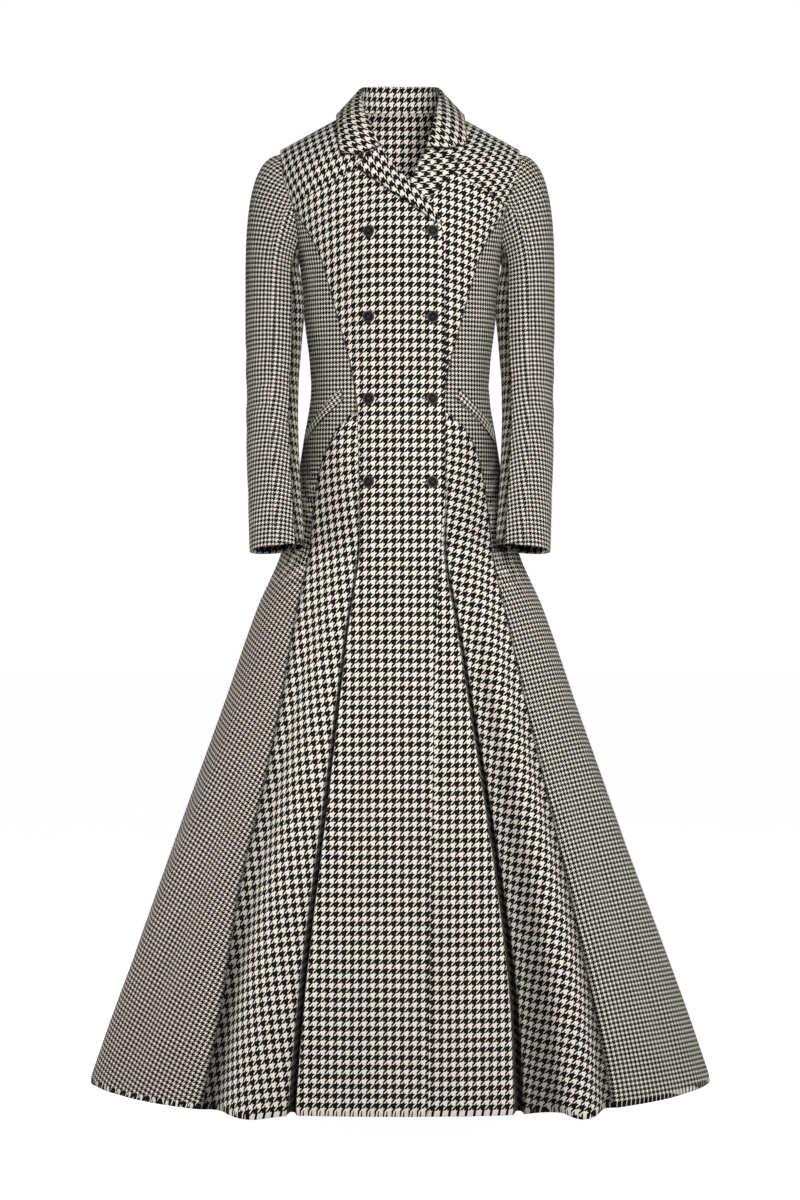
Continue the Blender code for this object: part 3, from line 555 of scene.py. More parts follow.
def flatCut(name, points, turned):  # the piece laid flat in metres, with the grain along V
    columns = min(cutting["coarseColumns"], points.shape[0] - 1)
    rows = min(cutting["coarseRows"], points.shape[1] - 1)
    coarse = spread(points, columns, rows)
    mesh = gridMesh("flat_" + name, coarse)
    mesh.uv_layers.new(name="cut")
    piece = newObject("flat_" + name, mesh)
    for other in bpy.context.selected_objects:
        other.select_set(False)
    piece.select_set(True)
    bpy.context.view_layer.objects.active = piece
    bpy.ops.object.mode_set(mode="EDIT")
    bpy.ops.mesh.select_all(action="SELECT")
    bpy.ops.uv.unwrap(method="MINIMUM_STRETCH", margin=0.0)
    bpy.ops.object.mode_set(mode="OBJECT")
    corners = np.zeros(len(mesh.loops) * 2, np.float32)
    mesh.uv_layers["cut"].data.foreach_get("uv", corners)
    flat = np.zeros((columns + 1, rows + 1, 2))
    flat[cornerSpots(mesh, columns, rows)] = corners.reshape(-1, 2)
    bpy.data.objects.remove(piece)
    bpy.data.meshes.remove(mesh)
    if quadAreas(flat).sum() < 0:  # not mirrored, seen from outside
        flat[..., 0] *= -1
    flat *= math.sqrt(quadAreas(coarse).sum() / abs(quadAreas(flat).sum()))
    across, down, lean = cutting["grain"][name]
    across = 1 - across if turned else across
    i, j = round(across * columns), round(down * rows)
    i, j = min(max(i, 1), columns - 1), min(max(j, 1), rows - 1)
    formSteps = np.stack((coarse[i + 1, j] - coarse[i - 1, j], coarse[i, j + 1] - coarse[i, j - 1]), axis=1)
    flatSteps = np.stack((flat[i + 1, j] - flat[i - 1, j], flat[i, j + 1] - flat[i, j - 1]), axis=1)
    seen = (formSteps @ np.linalg.inv(flatSteps))[[0, 2]]
    lean = math.radians(lean)
    grain = np.linalg.solve(seen, np.array((math.sin(lean), math.cos(lean))))
    grain /= np.linalg.norm(grain)
    turn = np.array(((grain[1], grain[0]), (-grain[0], grain[1])))
    return (flat - flat[i, j]) @ turn


def weaveSpans(cut):  # width, length and area of the flat piece
    low, high = cut.min(axis=(0, 1)), cut.max(axis=(0, 1))
    return float(high[0] - low[0]), float(high[1] - low[1]), float(abs(quadAreas(cut).sum()))


def fillSockets(node, values):  # a wire is linked, a plain value is set
    for key, value in values.items():
        if isinstance(value, Wire):
            value.tree.links.new(value.socket, node.inputs[key])
        else:
            node.inputs[key].default_value = value


def overload(operation, swapped=False):
    def apply(wire, other):
        return wire.maths(operation, *((other, wire) if swapped else (wire, other)))

    return apply


class Wire:  # a socket in a material, with arithmetic
    def __init__(self, tree, socket=None):
        self.tree = tree
        self.socket = socket

    def node(self, kind, settings=None, sockets=None, out=0):
        made = self.tree.nodes.new(kind)
        for key, value in (settings or {}).items():
            setattr(made, key, value)
        fillSockets(made, sockets or {})
        return Wire(self.tree, made.outputs[out])

    def pick(self, name):  # another output of the same node
        return Wire(self.tree, self.socket.node.outputs[name])

    def maths(self, operation, *values):
        return self.node("ShaderNodeMath", {"operation": operation}, dict(enumerate(values)))

    def mix(self, part, first, second):
        return self.node("ShaderNodeMix", {"data_type": "RGBA"}, {0: part, 6: first, 7: second}, 2)

    def noise(self, place, values, kind="3D", out=0):
        return self.node("ShaderNodeTexNoise", {"noise_dimensions": kind}, {"Vector": place, **values}, out)

    def bump(self, values, height):
        return self.node("ShaderNodeBump", {}, {**values, "Height": height})

    def floor(self):
        return self.maths("FLOOR", self)

    __add__, __radd__ = overload("ADD"), overload("ADD", True)
    __sub__, __rsub__ = overload("SUBTRACT"), overload("SUBTRACT", True)
    __mul__, __rmul__ = overload("MULTIPLY"), overload("MULTIPLY", True)
    __truediv__ = overload("DIVIDE")
    __mod__ = overload("FLOORED_MODULO")
    __lt__ = overload("LESS_THAN")


wool = {
    "creamYarn": (0.88, 0.81, 0.7, 1.0),
    "paleYarn": (0.94, 0.89, 0.81, 1.0),
    "blackYarn": (0.0025, 0.0023, 0.002, 1.0),
    "greyFibre": (0.016, 0.015, 0.013, 1.0),
    "threads": 8,
    # dark threads of the eight, how much wider than the light ones the dark diagonals are, in threads
    "largeDark": (4.25, 0.5),
    "smallDark": (4.5, 0.85),
    "twill": 4.0,
    "twillStart": 1.87,
    # width, height
    "largeRepeat": (0.0121, 0.0138),
    "smallRepeat": (0.0062, 0.00685),
    "sideRepeat": (0.0088, 0.00685),
    "fuzz": 0.12,
    "fuzzNoise": {"Scale": 1400.0, "Detail": 2.0, "Roughness": 0.6},
    "fibreNoise": {"Scale": 2600.0, "Detail": 3.0, "Roughness": 0.65},
    "heatherNoise": {"Scale": 60.0, "Detail": 2.0},
    "heatherShare": 0.7,
    "fibreShare": 0.3,
    "greyShare": 1.6,
    "nap": {"Strength": 0.55, "Distance": 0.00022},
    "ridgeHeight": 4.0,
    "fibreHeight": 0.6,
    "roughness": 0.96,
    "darkSmoother": 0.1,
    "plain": {
        "Specular IOR Level": 0.1, "Sheen Weight": 0.025, "Sheen Roughness": 0.45,
        "Sheen Tint": (1.0, 0.97, 0.92, 1.0),
    },
    # the most painted shade, as a share of black yarn mixed into the cloth's colour
    "paintedShadeStrength": 0.78,
}


def startFinish(name):
    material = bpy.data.materials.new(name)
    material.use_nodes = True
    shader = material.node_tree.nodes["Principled BSDF"]
    return material, shader, Wire(material.node_tree)


def houndstooth(name, repeat, darkShare, inside=False):  # four dark, four light, in a two and two twill
    material, shader, bench = startFinish(name)
    cut = bench.node("ShaderNodeUVMap", {"uv_map": "cut"})
    wide, tall = (size / wool["threads"] for size in repeat)
    fuzz = bench.noise(cut, wool["fuzzNoise"], "2D", "Color")
    loose = bench.node("ShaderNodeVectorMath", {"operation": "MULTIPLY_ADD"},
                       {0: fuzz, 1: (wide * wool["fuzz"] * 2, tall * wool["fuzz"] * 2, 0.0), 2: cut})
    spot = bench.node("ShaderNodeSeparateXYZ", {}, {0: loose})
    across = spot.pick("X") / (-wide if inside else wide)
    upward = spot.pick("Y") / tall
    warp, weft = across.floor(), upward.floor()
    darkThreads, wider = darkShare
    warpDark = (across % wool["threads"]) < darkThreads
    weftDark = (upward % wool["threads"]) < darkThreads
    slant = across - upward + wool["twillStart"]
    twill, half = wool["twill"], wool["twill"] / 2
    over = (slant % twill) < half  # the warp lies on top
    warpShows = ((slant + wider / 2) % twill) < half + wider
    weftShows = ((slant - half + wider / 2) % twill) < half + wider
    dark = bench.maths("MAXIMUM", warpDark * warpShows, weftDark * weftShows)
    overWidth, overHeight = across - warp, upward - weft
    ridge = over * (overWidth * (1 - overWidth)) + (1 - over) * (overHeight * (1 - overHeight))
    fibres = bench.noise(cut, wool["fibreNoise"], "2D")
    heather = bench.noise(cut, wool["heatherNoise"], "2D")
    pale = heather * wool["heatherShare"] + fibres * wool["fibreShare"]
    cream = bench.mix(pale, wool["creamYarn"], wool["paleYarn"])
    black = bench.mix(fibres * fibres * wool["greyShare"], wool["blackYarn"], wool["greyFibre"])
    # painted shade: the cloth's colour is mixed towards black along seams and edges, in the skirt's creases
    # and valleys, and on the hip behind the sleeve
    reach = bench.node("ShaderNodeAttribute", {"attribute_name": "paintedShadeReach"}, {}, "Fac")
    paintedShadeFactor = bench.node("ShaderNodeMapRange", {"interpolation_type": "SMOOTHSTEP"},
                      {"Value": reach, "To Min": wool["paintedShadeStrength"], "To Max": 0.0})
    height = ridge * wool["ridgeHeight"] + fibres * wool["fibreHeight"]
    fillSockets(shader, {
        "Base Color": bench.mix(paintedShadeFactor, bench.mix(dark, cream, black), wool["blackYarn"]),
        "Roughness": wool["roughness"] - dark * wool["darkSmoother"],
        "Normal": bench.bump(wool["nap"], height),
        **wool["plain"],
    })
    return material


clothFinish = {
    "sleeve_check": (houndstooth("sleeve check wool", wool["smallRepeat"], wool["smallDark"]),
                     houndstooth("sleeve facing wool", wool["largeRepeat"], wool["largeDark"], True)),
}
for word, repeat, dark in (("large", "large", "large"), ("side", "side", "small"),
                           ("welt", "small", "large")):
    weave = wool[repeat + "Repeat"], wool[dark + "Dark"]
    clothFinish[word + "_check"] = (houndstooth(word + " check wool", *weave),
                                    houndstooth(word + " check wool inside", *weave, True))
print("wool ready")

sewing = {
    "edgeRound": 0.0007,
    "edgeSteps": 2,
    "edgeAngle": 60.0,
    # how wide the painted shade along sewn edges is: cast shadow at the collar's, lapels' and welts' edges,
    # shade between arm and body on the under sleeves
    "seamWidth": 0.0014,
    "edgeWidth": 0.0036,
    "underWidth": 0.024,
    "leastFill": 0.3,  # of a flat piece's rectangle
}
cutList = {}


def paintedShadeReach(points, sewn, width):  # how far in from the sewn edges, for the shade painted into the cloth's colour there
    reach = np.full(points.shape[:2], 1.0)
    for axis, ends in ((0, (True, True)), (1, sewn)):
        steps = lengths(np.diff(points, axis=axis))
        start = np.zeros_like(np.take(steps, [0], axis=axis))
        way = np.concatenate((start, np.cumsum(steps, axis=axis)), axis=axis)
        if ends[0]:
            reach = np.minimum(reach, way)
        if ends[1]:
            reach = np.minimum(reach, np.take(way, [-1], axis=axis) - way)
    return reach / width


def blendLevel(fine, level, heights, turned):  # level over the waist, turning with the cut below
    columns = len(fine) - 1
    column, height = matching["levelMeet"]
    i, j = round(column * columns), np.abs(heights - height).argmin()
    i = columns - i if turned else i
    even = np.linspace(0, 1, columns + 1)
    whole = 2 * math.pi
    eased = even + matching["sideEase"] * np.sin(whole * even) / whole  # the check opens out round the side
    fine = np.stack([[np.interp(eased, even, row) for row in fine[..., axis].T] for axis in (0, 1)]).T
    part = level[..., 2:]
    return (fine - fine[i, j]) * (1 - part) + (level[..., :2] - level[i, j, :2]) * part


def placePiece(name, mesh, materials, node=None):
    mesh.shade_smooth()
    for material in materials:
        mesh.materials.append(material)
    piece = newObject(name, mesh)
    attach(piece, "root")
    if node:
        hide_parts(node)
    return piece


def makeCloth(name, slotName, points, normals, cut=None, offset=-1.0, meet=None, finish=None,
              sewn=(True, False), width=sewing["seamWidth"], level=None, paintedShadeMask=None):
    ways = np.cross(points[1:, :-1] - points[:-1, :-1], points[:-1, :-1] - points[:-1, 1:])
    turned = np.sum(ways * normals[:-1, :-1]) < 0
    if turned:  # columns run left to right, seen from outside
        points = points[::-1]
    if cut is None:
        cut = flatCut(name, points, turned)
        if meet:  # the check goes on from the next piece at one place of the grid
            spot = cut[round(meet[0] * (cut.shape[0] - 1)), round(meet[1] * (cut.shape[1] - 1))]
            cut = cut + meet[2] - spot
    elif turned:
        cut = cut[::-1]
    columns, rows = points.shape[0] - 1, points.shape[1] - 1
    mesh = gridMesh(name + "_cloth", points)
    layer = mesh.uv_layers.new(name="cut")
    fine = spread(cut, columns, rows)
    if level is not None:
        fine = blendLevel(fine, level[::-1] if turned else level, points[0, :, 2], turned)
    if points[:, -1, 2].mean() < matching["hemBelow"]:  # the yarns run straight over the turned hem
        fine[:, -1] = fine[:, -2] + matching["hemEase"] * (fine[:, -1] - fine[:, -2])
    fine = fine[cornerSpots(mesh, columns, rows)]
    layer.data.foreach_set("uv", fine.astype(np.float32).ravel())
    # painted shade, stored for the material: distance from sewn edges, lowered in creases and behind the
    # sleeve
    reach = paintedShadeReach(points, sewn, width)
    if paintedShadeMask is not None:
        reach = np.minimum(reach, paintedShadeMask[::-1] if turned else paintedShadeMask)
    reach = reach[:, ::-1].T
    shade = mesh.attributes.new("paintedShadeReach", "FLOAT", "POINT")
    shade.data.foreach_set("value", reach.astype(np.float32).ravel())
    piece = placePiece(name + "_cloth", mesh, clothFinish[finish or slotName], name)
    wall = piece.modifiers.new("wall", "SOLIDIFY")
    wall.thickness = coat["cloth"]
    wall.offset = offset
    wall.material_offset = 1
    edge = piece.modifiers.new("turned edge", "BEVEL")
    edge.width = sewing["edgeRound"]
    edge.segments = sewing["edgeSteps"]
    edge.limit_method = "ANGLE"
    edge.angle_limit = math.radians(sewing["edgeAngle"])
    cutList[name] = weaveSpans(cut)


def declareCloth(name):
    wide, long, area = cutList[name]
    area = min(max(area, sewing["leastFill"] * wide * long), wide * long)


for side, word in sides:
    yokeRow = seams["yokeRow"]
    makeCloth("yoke_" + word, "large_check", *frontGrid(side, panels["yokeColumns"], 0, yokeRow)[:2],
              sewn=(True, True))
    makeCloth("front_" + word, "large_check",
              *frontGrid(side, panels["frontColumns"], yokeRow, seams["lastRow"]))
    points, normals, paintedShadeMask = goreGrid(side, panels["goreColumns"])
    makeCloth("gore_" + word, "large_check", points, normals, paintedShadeMask=paintedShadeMask)
    points, normals, level, paintedShadeMask = sideGrid(side, panels["sideColumns"])
    makeCloth("side_" + word, "small_check", points, normals, finish="side_check", level=level, paintedShadeMask=paintedShadeMask)
makeCloth("back", "large_check", *backGrid(panels["backColumns"]), sewn=(False, False))
print("panels ready")

sleeves = {
    # height, centre out from the middle, centre Y, half width, half depth
    "rings": (
        (-0.25, 0.1912, -0.01, 0.0403, 0.06), (-0.345, 0.1898, -0.022, 0.0412, 0.058),
        (-0.405, 0.1905, -0.036, 0.0392, 0.055), (-0.4725, 0.19, -0.059, 0.0388, 0.052),
        (-0.555, 0.1862, -0.092, 0.0392, 0.049), (-0.645, 0.181, -0.127, 0.0405, 0.047),
    ),
    "gap": 0.0005,
    "step": 0.006,
    "stepPower": 3,
    "tuck": (0.004, 0.0026),  # seam allowance under the body's cloth: how far in, how deep
    "cuffFrontRise": 0.006,
    "cuffInnerRise": 0.004,
    "armholeCentre": (0.0, -0.135),
    "armholeReach": (0.055, 0.081),
    "underFrom": 128.0,
    "underTo": 238.0,
    "sideColumns": 11,  # of the armhole under the arm
    "finer": 4,
    # how the cap leaves the armhole: out, forward and down, and how far; and how it meets the first ring
    "leaveOut": (0.4, 0.6),
    "leaveForward": 0.35,
    "leaveDown": (0.1, 0.9),
    "leaveLength": (0.02, 0.13),
    "arriveLength": 1.2,
    "capSteps": 18,
    "lowerSteps": 60,
    "softReach": 0.045,
    # soft creases: turn from the top, height, half length in degrees, half width, tilt, depth
    "soft": (
        (70.0, -0.395, 70.0, 0.011, 8.0, -0.0026), (60.0, -0.428, 60.0, 0.01, -6.0, -0.0024),
        (95.0, -0.46, 55.0, 0.012, 10.0, -0.002), (300.0, -0.41, 60.0, 0.012, -10.0, -0.0018),
        (20.0, -0.35, 50.0, 0.014, 12.0, -0.0014), (330.0, -0.47, 55.0, 0.014, 8.0, -0.0014),
        (180.0, -0.29, 55.0, 0.04, 0.0, 0.0068), (180.0, -0.25, 55.0, 0.022, 0.0, 0.0034),
        (120.0, -0.3, 60.0, 0.014, -14.0, -0.0018), (40.0, -0.56, 60.0, 0.016, 6.0, -0.001),
    ),
}


def armholeLoop(side, k):  # the armhole edge of yoke, side and back, at places counted round it
    rows = seams["yokeRow"]
    last = rows + sleeves["sideColumns"]
    down = [row[0] for row in seams["rows"][:rows + 1]]
    heights = np.interp(k, (*range(rows + 1), *range(last, last + rows + 1)), down + down[::-1])
    x = side * along(seams["armhole"], heights)[0]
    loop = np.where((k < rows)[:, None], bodyPoint(angleAt(x, heights), heights),
                    bodyPoint(angleAt(x, heights, True), heights))
    under = np.clip((k - rows) / sleeves["sideColumns"], 0.0, 1.0)
    sidePart = sideGrid(side, 0, under, np.full(len(k), float(rows)))[0]
    return np.where(((k >= rows) & (k <= last))[:, None], sidePart, loop)


def sleeveCrease(turn, height):
    total = np.zeros(np.broadcast(turn, height).shape)
    for centre, level, length, width, tilt, depth in sleeves["soft"]:
        away = (turn - centre + 180) % 360 - 180
        down = height - level - math.tan(math.radians(tilt)) * np.radians(away) * sleeves["softReach"]
        total = total + depth * np.exp(-((away / length) ** 2) - (down / width) ** 2)
    return total


def sleeveGrid(side, k):
    start = armholeLoop(side, k)
    forward = (sleeves["armholeCentre"][0] - start[:, 1]) / sleeves["armholeReach"][0]
    upward = (start[:, 2] - sleeves["armholeCentre"][1]) / sleeves["armholeReach"][1]
    turn = np.arctan2(forward, upward)[:, None]
    outness = (1 + np.cos(turn)) / 2
    first, last = sleeves["rings"][0][0], sleeves["rings"][-1][0]

    def ringPoints(height):
        centreX, centreY, halfWidth, halfDepth = along(sleeves["rings"], height)
        x = side * (centreX + halfWidth * np.cos(turn))
        return np.stack(np.broadcast_arrays(x, centreY - halfDepth * np.sin(turn), height), axis=-1)

    out, outMore = sleeves["leaveOut"]
    down, downMore = sleeves["leaveDown"]
    leave = np.concatenate((side * (out + outMore * outness), -sleeves["leaveForward"] * np.sin(turn),
                            -down - downMore * (1 - outness)), axis=1)
    short, longer = sleeves["leaveLength"]
    leave = leave * (short + longer * outness)
    begin = start.copy()
    begin[:, 0] += side * sleeves["gap"]
    begin[:, 2] -= sleeves["step"] * outness[:, 0] ** sleeves["stepPower"]
    end = ringPoints(np.array([first]))[:, 0]
    arrive = np.zeros(begin.shape)
    arrive[:, 2] = (end[:, 2] - begin[:, 2]) * sleeves["arriveLength"]
    t = np.linspace(0, 1, sleeves["capSteps"] + 1)[None, :-1, None]
    cap = hermite(t, begin[:, None], leave[:, None], end[:, None], arrive[:, None])
    t = np.linspace(0, 1, sleeves["lowerSteps"] + 1)
    lower = ringPoints(first + (last - first) * t)
    lower[..., 2] += t * (sleeves["cuffFrontRise"] * np.sin(turn) - sleeves["cuffInnerRise"] * np.cos(turn))
    around = np.roll(start, -1, axis=0) - np.roll(start, 1, axis=0)
    inward = unit(np.cross(around, np.array((side, 0.0, 0.0))))
    inward *= np.sign(np.sum(inward * (start.mean(axis=0) - start)))
    tuck = start + inward * sleeves["tuck"][1]
    tuck[:, 0] -= side * sleeves["tuck"][0]
    grid = np.concatenate((tuck[:, None], cap, lower), axis=1)
    return grid, np.degrees(turn[:, 0]) % 360


def gridNormals(grid, closed=False):
    across = np.gradient(grid, axis=0)
    if closed:
        across = np.roll(grid, -1, axis=0) - np.roll(grid, 1, axis=0)
    return unit(np.cross(across, np.gradient(grid, axis=1)))


for side, word in sides:
    count = 2 * seams["yokeRow"] + sleeves["sideColumns"]
    _, turns = sleeveGrid(side, np.arange(count, dtype=float))
    under = [k for k, turn in enumerate(turns) if sleeves["underFrom"] < turn < sleeves["underTo"]]
    fine = np.arange(count * sleeves["finer"]) / sleeves["finer"]
    grid, turns = sleeveGrid(side, fine)
    normals = gridNormals(grid, True)
    if np.sum(normals * (grid - grid.mean(axis=0))) < 0:
        normals = -normals
    grid = grid + normals * sleeveCrease(turns[:, None], grid[..., 2])[..., None]
    first, last = under[0] * sleeves["finer"], under[-1] * sleeves["finer"]
    underOrder = np.arange(first, last + 1)
    topOrder = np.arange(last, first + len(fine) + 1) % len(fine)
    makeCloth("sleeve_top_" + word, "small_check", grid[topOrder], normals[topOrder], finish="sleeve_check")
    # the under sleeve gets a wide band of painted shade along its seams
    makeCloth("sleeve_under_" + word, "large_check", grid[underOrder], normals[underOrder], sewn=(True, True),
              width=sewing["underWidth"])
print("sleeves ready")

collar = {
    # key, neck seam x, height; fold x, y, z; edge of the fall x, height;
    # drop and swell of its middle; 1 on the back
    "sections": (
        (0, -0.0362, -0.0465, -0.0325, -0.0905, -0.048, -0.087, -0.06, 0.012, 0.0095, 0),
        (1, -0.044, -0.033, -0.0425, -0.081, -0.023, -0.0895, -0.042, 0.004, 0.008, 0),
        (2, -0.056, -0.0112, -0.055, -0.051, 0.011, -0.091, -0.015, 0.0, 0.004, 0),
        (3, -0.07, 0.015, -0.059, 0.002, 0.044, -0.09, 0.0037, 0.0, 0.001, 1),
        (4, -0.05, 0.0164, -0.043, 0.042, 0.053, -0.07, 0.004, 0.0, 0.003, 1),
        (5, 0.0, 0.018, 0.0, 0.06, 0.055, 0.0, 0.004, 0.0, 0.004, 1),
        (6, 0.05, 0.0164, 0.043, 0.042, 0.053, 0.07, 0.004, 0.0, 0.003, 1),
        (7, 0.07, 0.015, 0.059, 0.002, 0.044, 0.09, 0.0037, 0.0, 0.001, 1),
        (8, 0.0583, -0.0112, 0.056, -0.051, 0.011, 0.094, -0.015, 0.0, 0.004, 0),
        (9, 0.05, -0.033, 0.048, -0.081, -0.023, 0.0965, -0.038, 0.002, 0.008, 0),
        (10, 0.0443, -0.0475, 0.042, -0.0905, -0.049, 0.093, -0.049, 0.009, 0.0095, 0),
    ),
    "behindKeys": (3, 7),
    "path": (0.0, 0.35, 0.7, 1.0),  # where across it the seam, fold, middle and edge lie
    "meet": (0.5, 0.0, (0.0, -0.044)),  # part of the columns and rows, and the flat place there
    "steps": 110,
    "across": 30,
    "lift": 0.0068,
    "rise": -0.002,
    "inset": 0.0034,
}


def neckPoint(key, x, height):
    first, last = collar["behindKeys"]
    behind = first <= key <= last
    if behind:
        x = min(max(x, -seams["neckHalf"]), seams["neckHalf"])
        height = float(backTop(np.array(x)))
    else:
        x = float(along(seams["rightEdge" if x < 0 else "leftEdge"], height)[0])
    point = bodyPoint(angleAt(x, height, behind), height)
    point[:2] -= point[:2] / np.linalg.norm(point[:2]) * collar["inset"]
    point[2] += collar["rise"]
    return point


def collarGrid():
    sections = []
    for key, neckX, neckHeight, *fold, edgeX, edgeHeight, drop, swell, behind in collar["sections"]:
        edge, out = onBody(angleAt(edgeX, edgeHeight, bool(behind)), edgeHeight, collar["lift"])
        middle = (np.array(fold) + edge) / 2 + out * swell
        middle[2] -= drop
        sections.append((key, neckX, neckHeight, *fold, *middle, *edge))
    grid = []
    for key in np.linspace(0, len(sections) - 1, collar["steps"] + 1):
        neckX, neckHeight, *rest = along(sections, key)
        stops = (neckPoint(key, neckX, neckHeight), *np.reshape(rest, (3, 3)))
        path = [(part, *stop) for part, stop in zip(collar["path"], stops)]
        grid.append(along(path, np.linspace(0, 1, collar["across"] + 1)).T)
    return np.array(grid)


grid = collarGrid()
makeCloth("collar", "large_check", grid, gridNormals(grid), offset=0.0, meet=collar["meet"],
          sewn=(False, True), width=sewing["edgeWidth"])

lapels = {
    # key, roll line x, height; outer edge x, height; size of the roll
    "right": (
        (0, -0.0335, -0.0515, -0.0667, -0.079, 1.0), (1, -0.0147, -0.079, -0.044, -0.096, 1.0),
        (2, 0.0122, -0.1085, -0.0133, -0.1197, 1.0), (3, 0.0404, -0.1425, 0.0251, -0.147, 0.9),
        (4, 0.057, -0.167, 0.0515, -0.1665, 0.5),
    ),
    "left": (
        (0, 0.0425, -0.0525, 0.09, -0.0737, 1.0), (1, 0.0295, -0.0795, 0.0613, -0.1075, 0.8),
        (2, 0.0142, -0.1055, 0.0369, -0.135, 0.25), (3, -0.002, -0.134, 0.018, -0.16, 0.1),
        (4, -0.0135, -0.155, 0.001, -0.18, 0.1),
    ),
    # reach past the roll line, height over the front
    "roll": ((0.0017, -0.0007), (0.0032, 0.0001), (0.004, 0.0021), (0.003, 0.0042), (0.0, 0.0052)),
    # part of the width, height over the front
    "fall": ((0.25, 0.0062), (0.5, 0.0066), (0.75, 0.0064), (1.0, 0.0058)),
    "low": 0.0022,  # height over the front where there is no roll
    "outerRows": 6,
    "steps": 40,
    "across": 32,
}


def lapelGrid(side, word):
    keys = np.linspace(0, len(lapels[word]) - 1, lapels["steps"] + 1)
    rollX, rollHeight, edgeX, edgeHeight, size = along(lapels[word], keys)
    roll, edge = np.stack((rollX, rollHeight), axis=1), np.stack((edgeX, edgeHeight), axis=1)
    neckward = unit(roll - edge)
    low = lapels["low"]
    near = lapels["roll"][0][0]
    track = []
    for reach, level in lapels["roll"]:
        spot = roll + neckward * (near + (reach - near) * size)[:, None]
        high = low + (level - low) * size if level > low else np.full(len(size), level)
        track.append((*spot.T, high))
    for part, level in lapels["fall"]:
        spot = roll + (edge - roll) * part
        track.append((*spot.T, low + (level - low) * size))
    track = np.array(track)  # place across, column, step
    keys = np.arange(len(track))
    table = [(key, *track[key].ravel()) for key in keys]
    spots = along(table, np.linspace(0, keys[-1], lapels["across"] + 1))
    x, height, level = spots.reshape(3, len(size), -1)
    lift = level + (lapLift(x, height) if side < 0 else 0.0)
    return onBody(angleAt(x, height), height, lift)[0]


for side, word in sides:
    grid = lapelGrid(side, word)
    normals = gridNormals(grid)
    if normals[:, -lapels["outerRows"]:, 1].sum() > 0:
        normals = -normals
    makeCloth("lapel_" + word, "large_check", grid, normals, offset=0.0, sewn=(True, True),
              width=sewing["edgeWidth"])
print("collar ready")

welts = {
    # angle, height
    "front": (38.0, -0.405),
    "rear": (74.0, -0.468),
    "width": 0.019,
    "lean": 2.4,
    "lift": 0.004,
    "columns": 40,
    "rows": 12,
    # one part in so many of the length and of the width is rounded at each edge, and how far down
    "roundEnds": 24,
    "roundEdges": 8,
    "roundDown": 0.0006,
}
for side, word in sides:
    s, t = gridOf(welts["columns"], np.linspace(0, 1, welts["rows"] + 1))
    frontAngle, frontHeight = welts["front"]
    rearAngle, rearHeight = welts["rear"]
    angle = frontAngle + (rearAngle - frontAngle) * s - welts["lean"] * t
    height = frontHeight + (rearHeight - frontHeight) * s - welts["width"] * t
    fromEnds, fromEdges = np.minimum(s, 1 - s), np.minimum(t, 1 - t)
    rounded = np.minimum(fromEnds * welts["roundEnds"], fromEdges * welts["roundEdges"])
    lift = welts["lift"] - welts["roundDown"] * np.clip(1 - rounded, 0.0, 1.0) ** 2
    makeCloth("welt_" + word, "small_check", *onBody(side * angle, height, lift), finish="welt_check",
              sewn=(True, True), width=sewing["edgeWidth"])
print("welts ready")

buttons = {
    "rows": (-0.1775, -0.301, -0.4225, -0.547),
    "columns": {"right": -0.045, "left": 0.047},
    "radius": 0.0087,
    "lift": 0.0005,
    "sides": 56,
    # radius, height
    "section": (
        (0.0, 0.0), (0.0074, 0.0), (0.0082, 0.0003), (0.0087, 0.001), (0.0087, 0.002), (0.0084, 0.0027),
        (0.0078, 0.0031), (0.007, 0.0031), (0.0064, 0.0027), (0.0058, 0.0021), (0.0048, 0.0017),
        (0.003, 0.0016), (0.0, 0.0016),
    ),
    "rimFrom": 0.0062,
    "holeRadius": 0.00085,
    "holeOut": 0.0017,
    "threadRadius": 0.00045,
    "threadSides": 10,
    "threadHeight": 0.002,
    "threadOver": 0.0003,
    "wellSides": 14,
    "wellHeight": 0.00165,
    "wellDepth": 0.0004,
    "weld": 0.00001,
    "sharpAngle": 48.0,
    "holeLength": 0.015,  # buttonhole, out from the button's middle
    "holeWidth": 0.0021,
    "holeGrid": (24, 6),
    "holeSquare": 8,
    "holeTaper": (1.25, 0.45),
    "holeRaised": 0.0007,
    "slit": (0.0009, 0.28, 0.1),  # depth, half width as part of the hole's, where it starts
    # tones, roughness, level of the shine
    "face": (((0.006, 0.006, 0.006, 1.0), (0.018, 0.017, 0.016, 1.0)), 0.44, 0.1),
    # the rim's lighter tones are partly a painted highlight ring; its gloss is real
    "rim": (((0.014, 0.014, 0.014, 1.0), (0.046, 0.045, 0.043, 1.0)), 0.24, 0.5),
    "grain": {"Scale": 420.0, "Detail": 4.0, "Roughness": 0.6},
    "streak": {"Scale": 130.0, "Detail": 3.0, "Distortion": 1.2},
    "grainRougher": 0.16,
    "grainBump": {"Strength": 0.12, "Distance": 0.0002},
}

thread = {
    "tones": ((0.01, 0.01, 0.01, 1.0), (0.05, 0.048, 0.045, 1.0)),
    "twist": {"Scale": 520.0, "Distortion": 1.0},
    "roughness": 0.7,
    "twistRougher": 0.15,
    "twistBump": {"Strength": 0.4, "Distance": 0.0002},
}


def blackPlastic(name, tones, gloss, level):
    material, shader, bench = startFinish(name)
    place = bench.node("ShaderNodeTexCoord", {}, {}, "Object")
    grain = bench.noise(place, buttons["grain"])
    fillSockets(shader, {
        "Base Color": bench.mix(bench.noise(place, buttons["streak"]), *tones),
        "Roughness": gloss + grain * buttons["grainRougher"],
        "Normal": bench.bump(buttons["grainBump"], grain),
        "Specular IOR Level": level,
    })
    return material


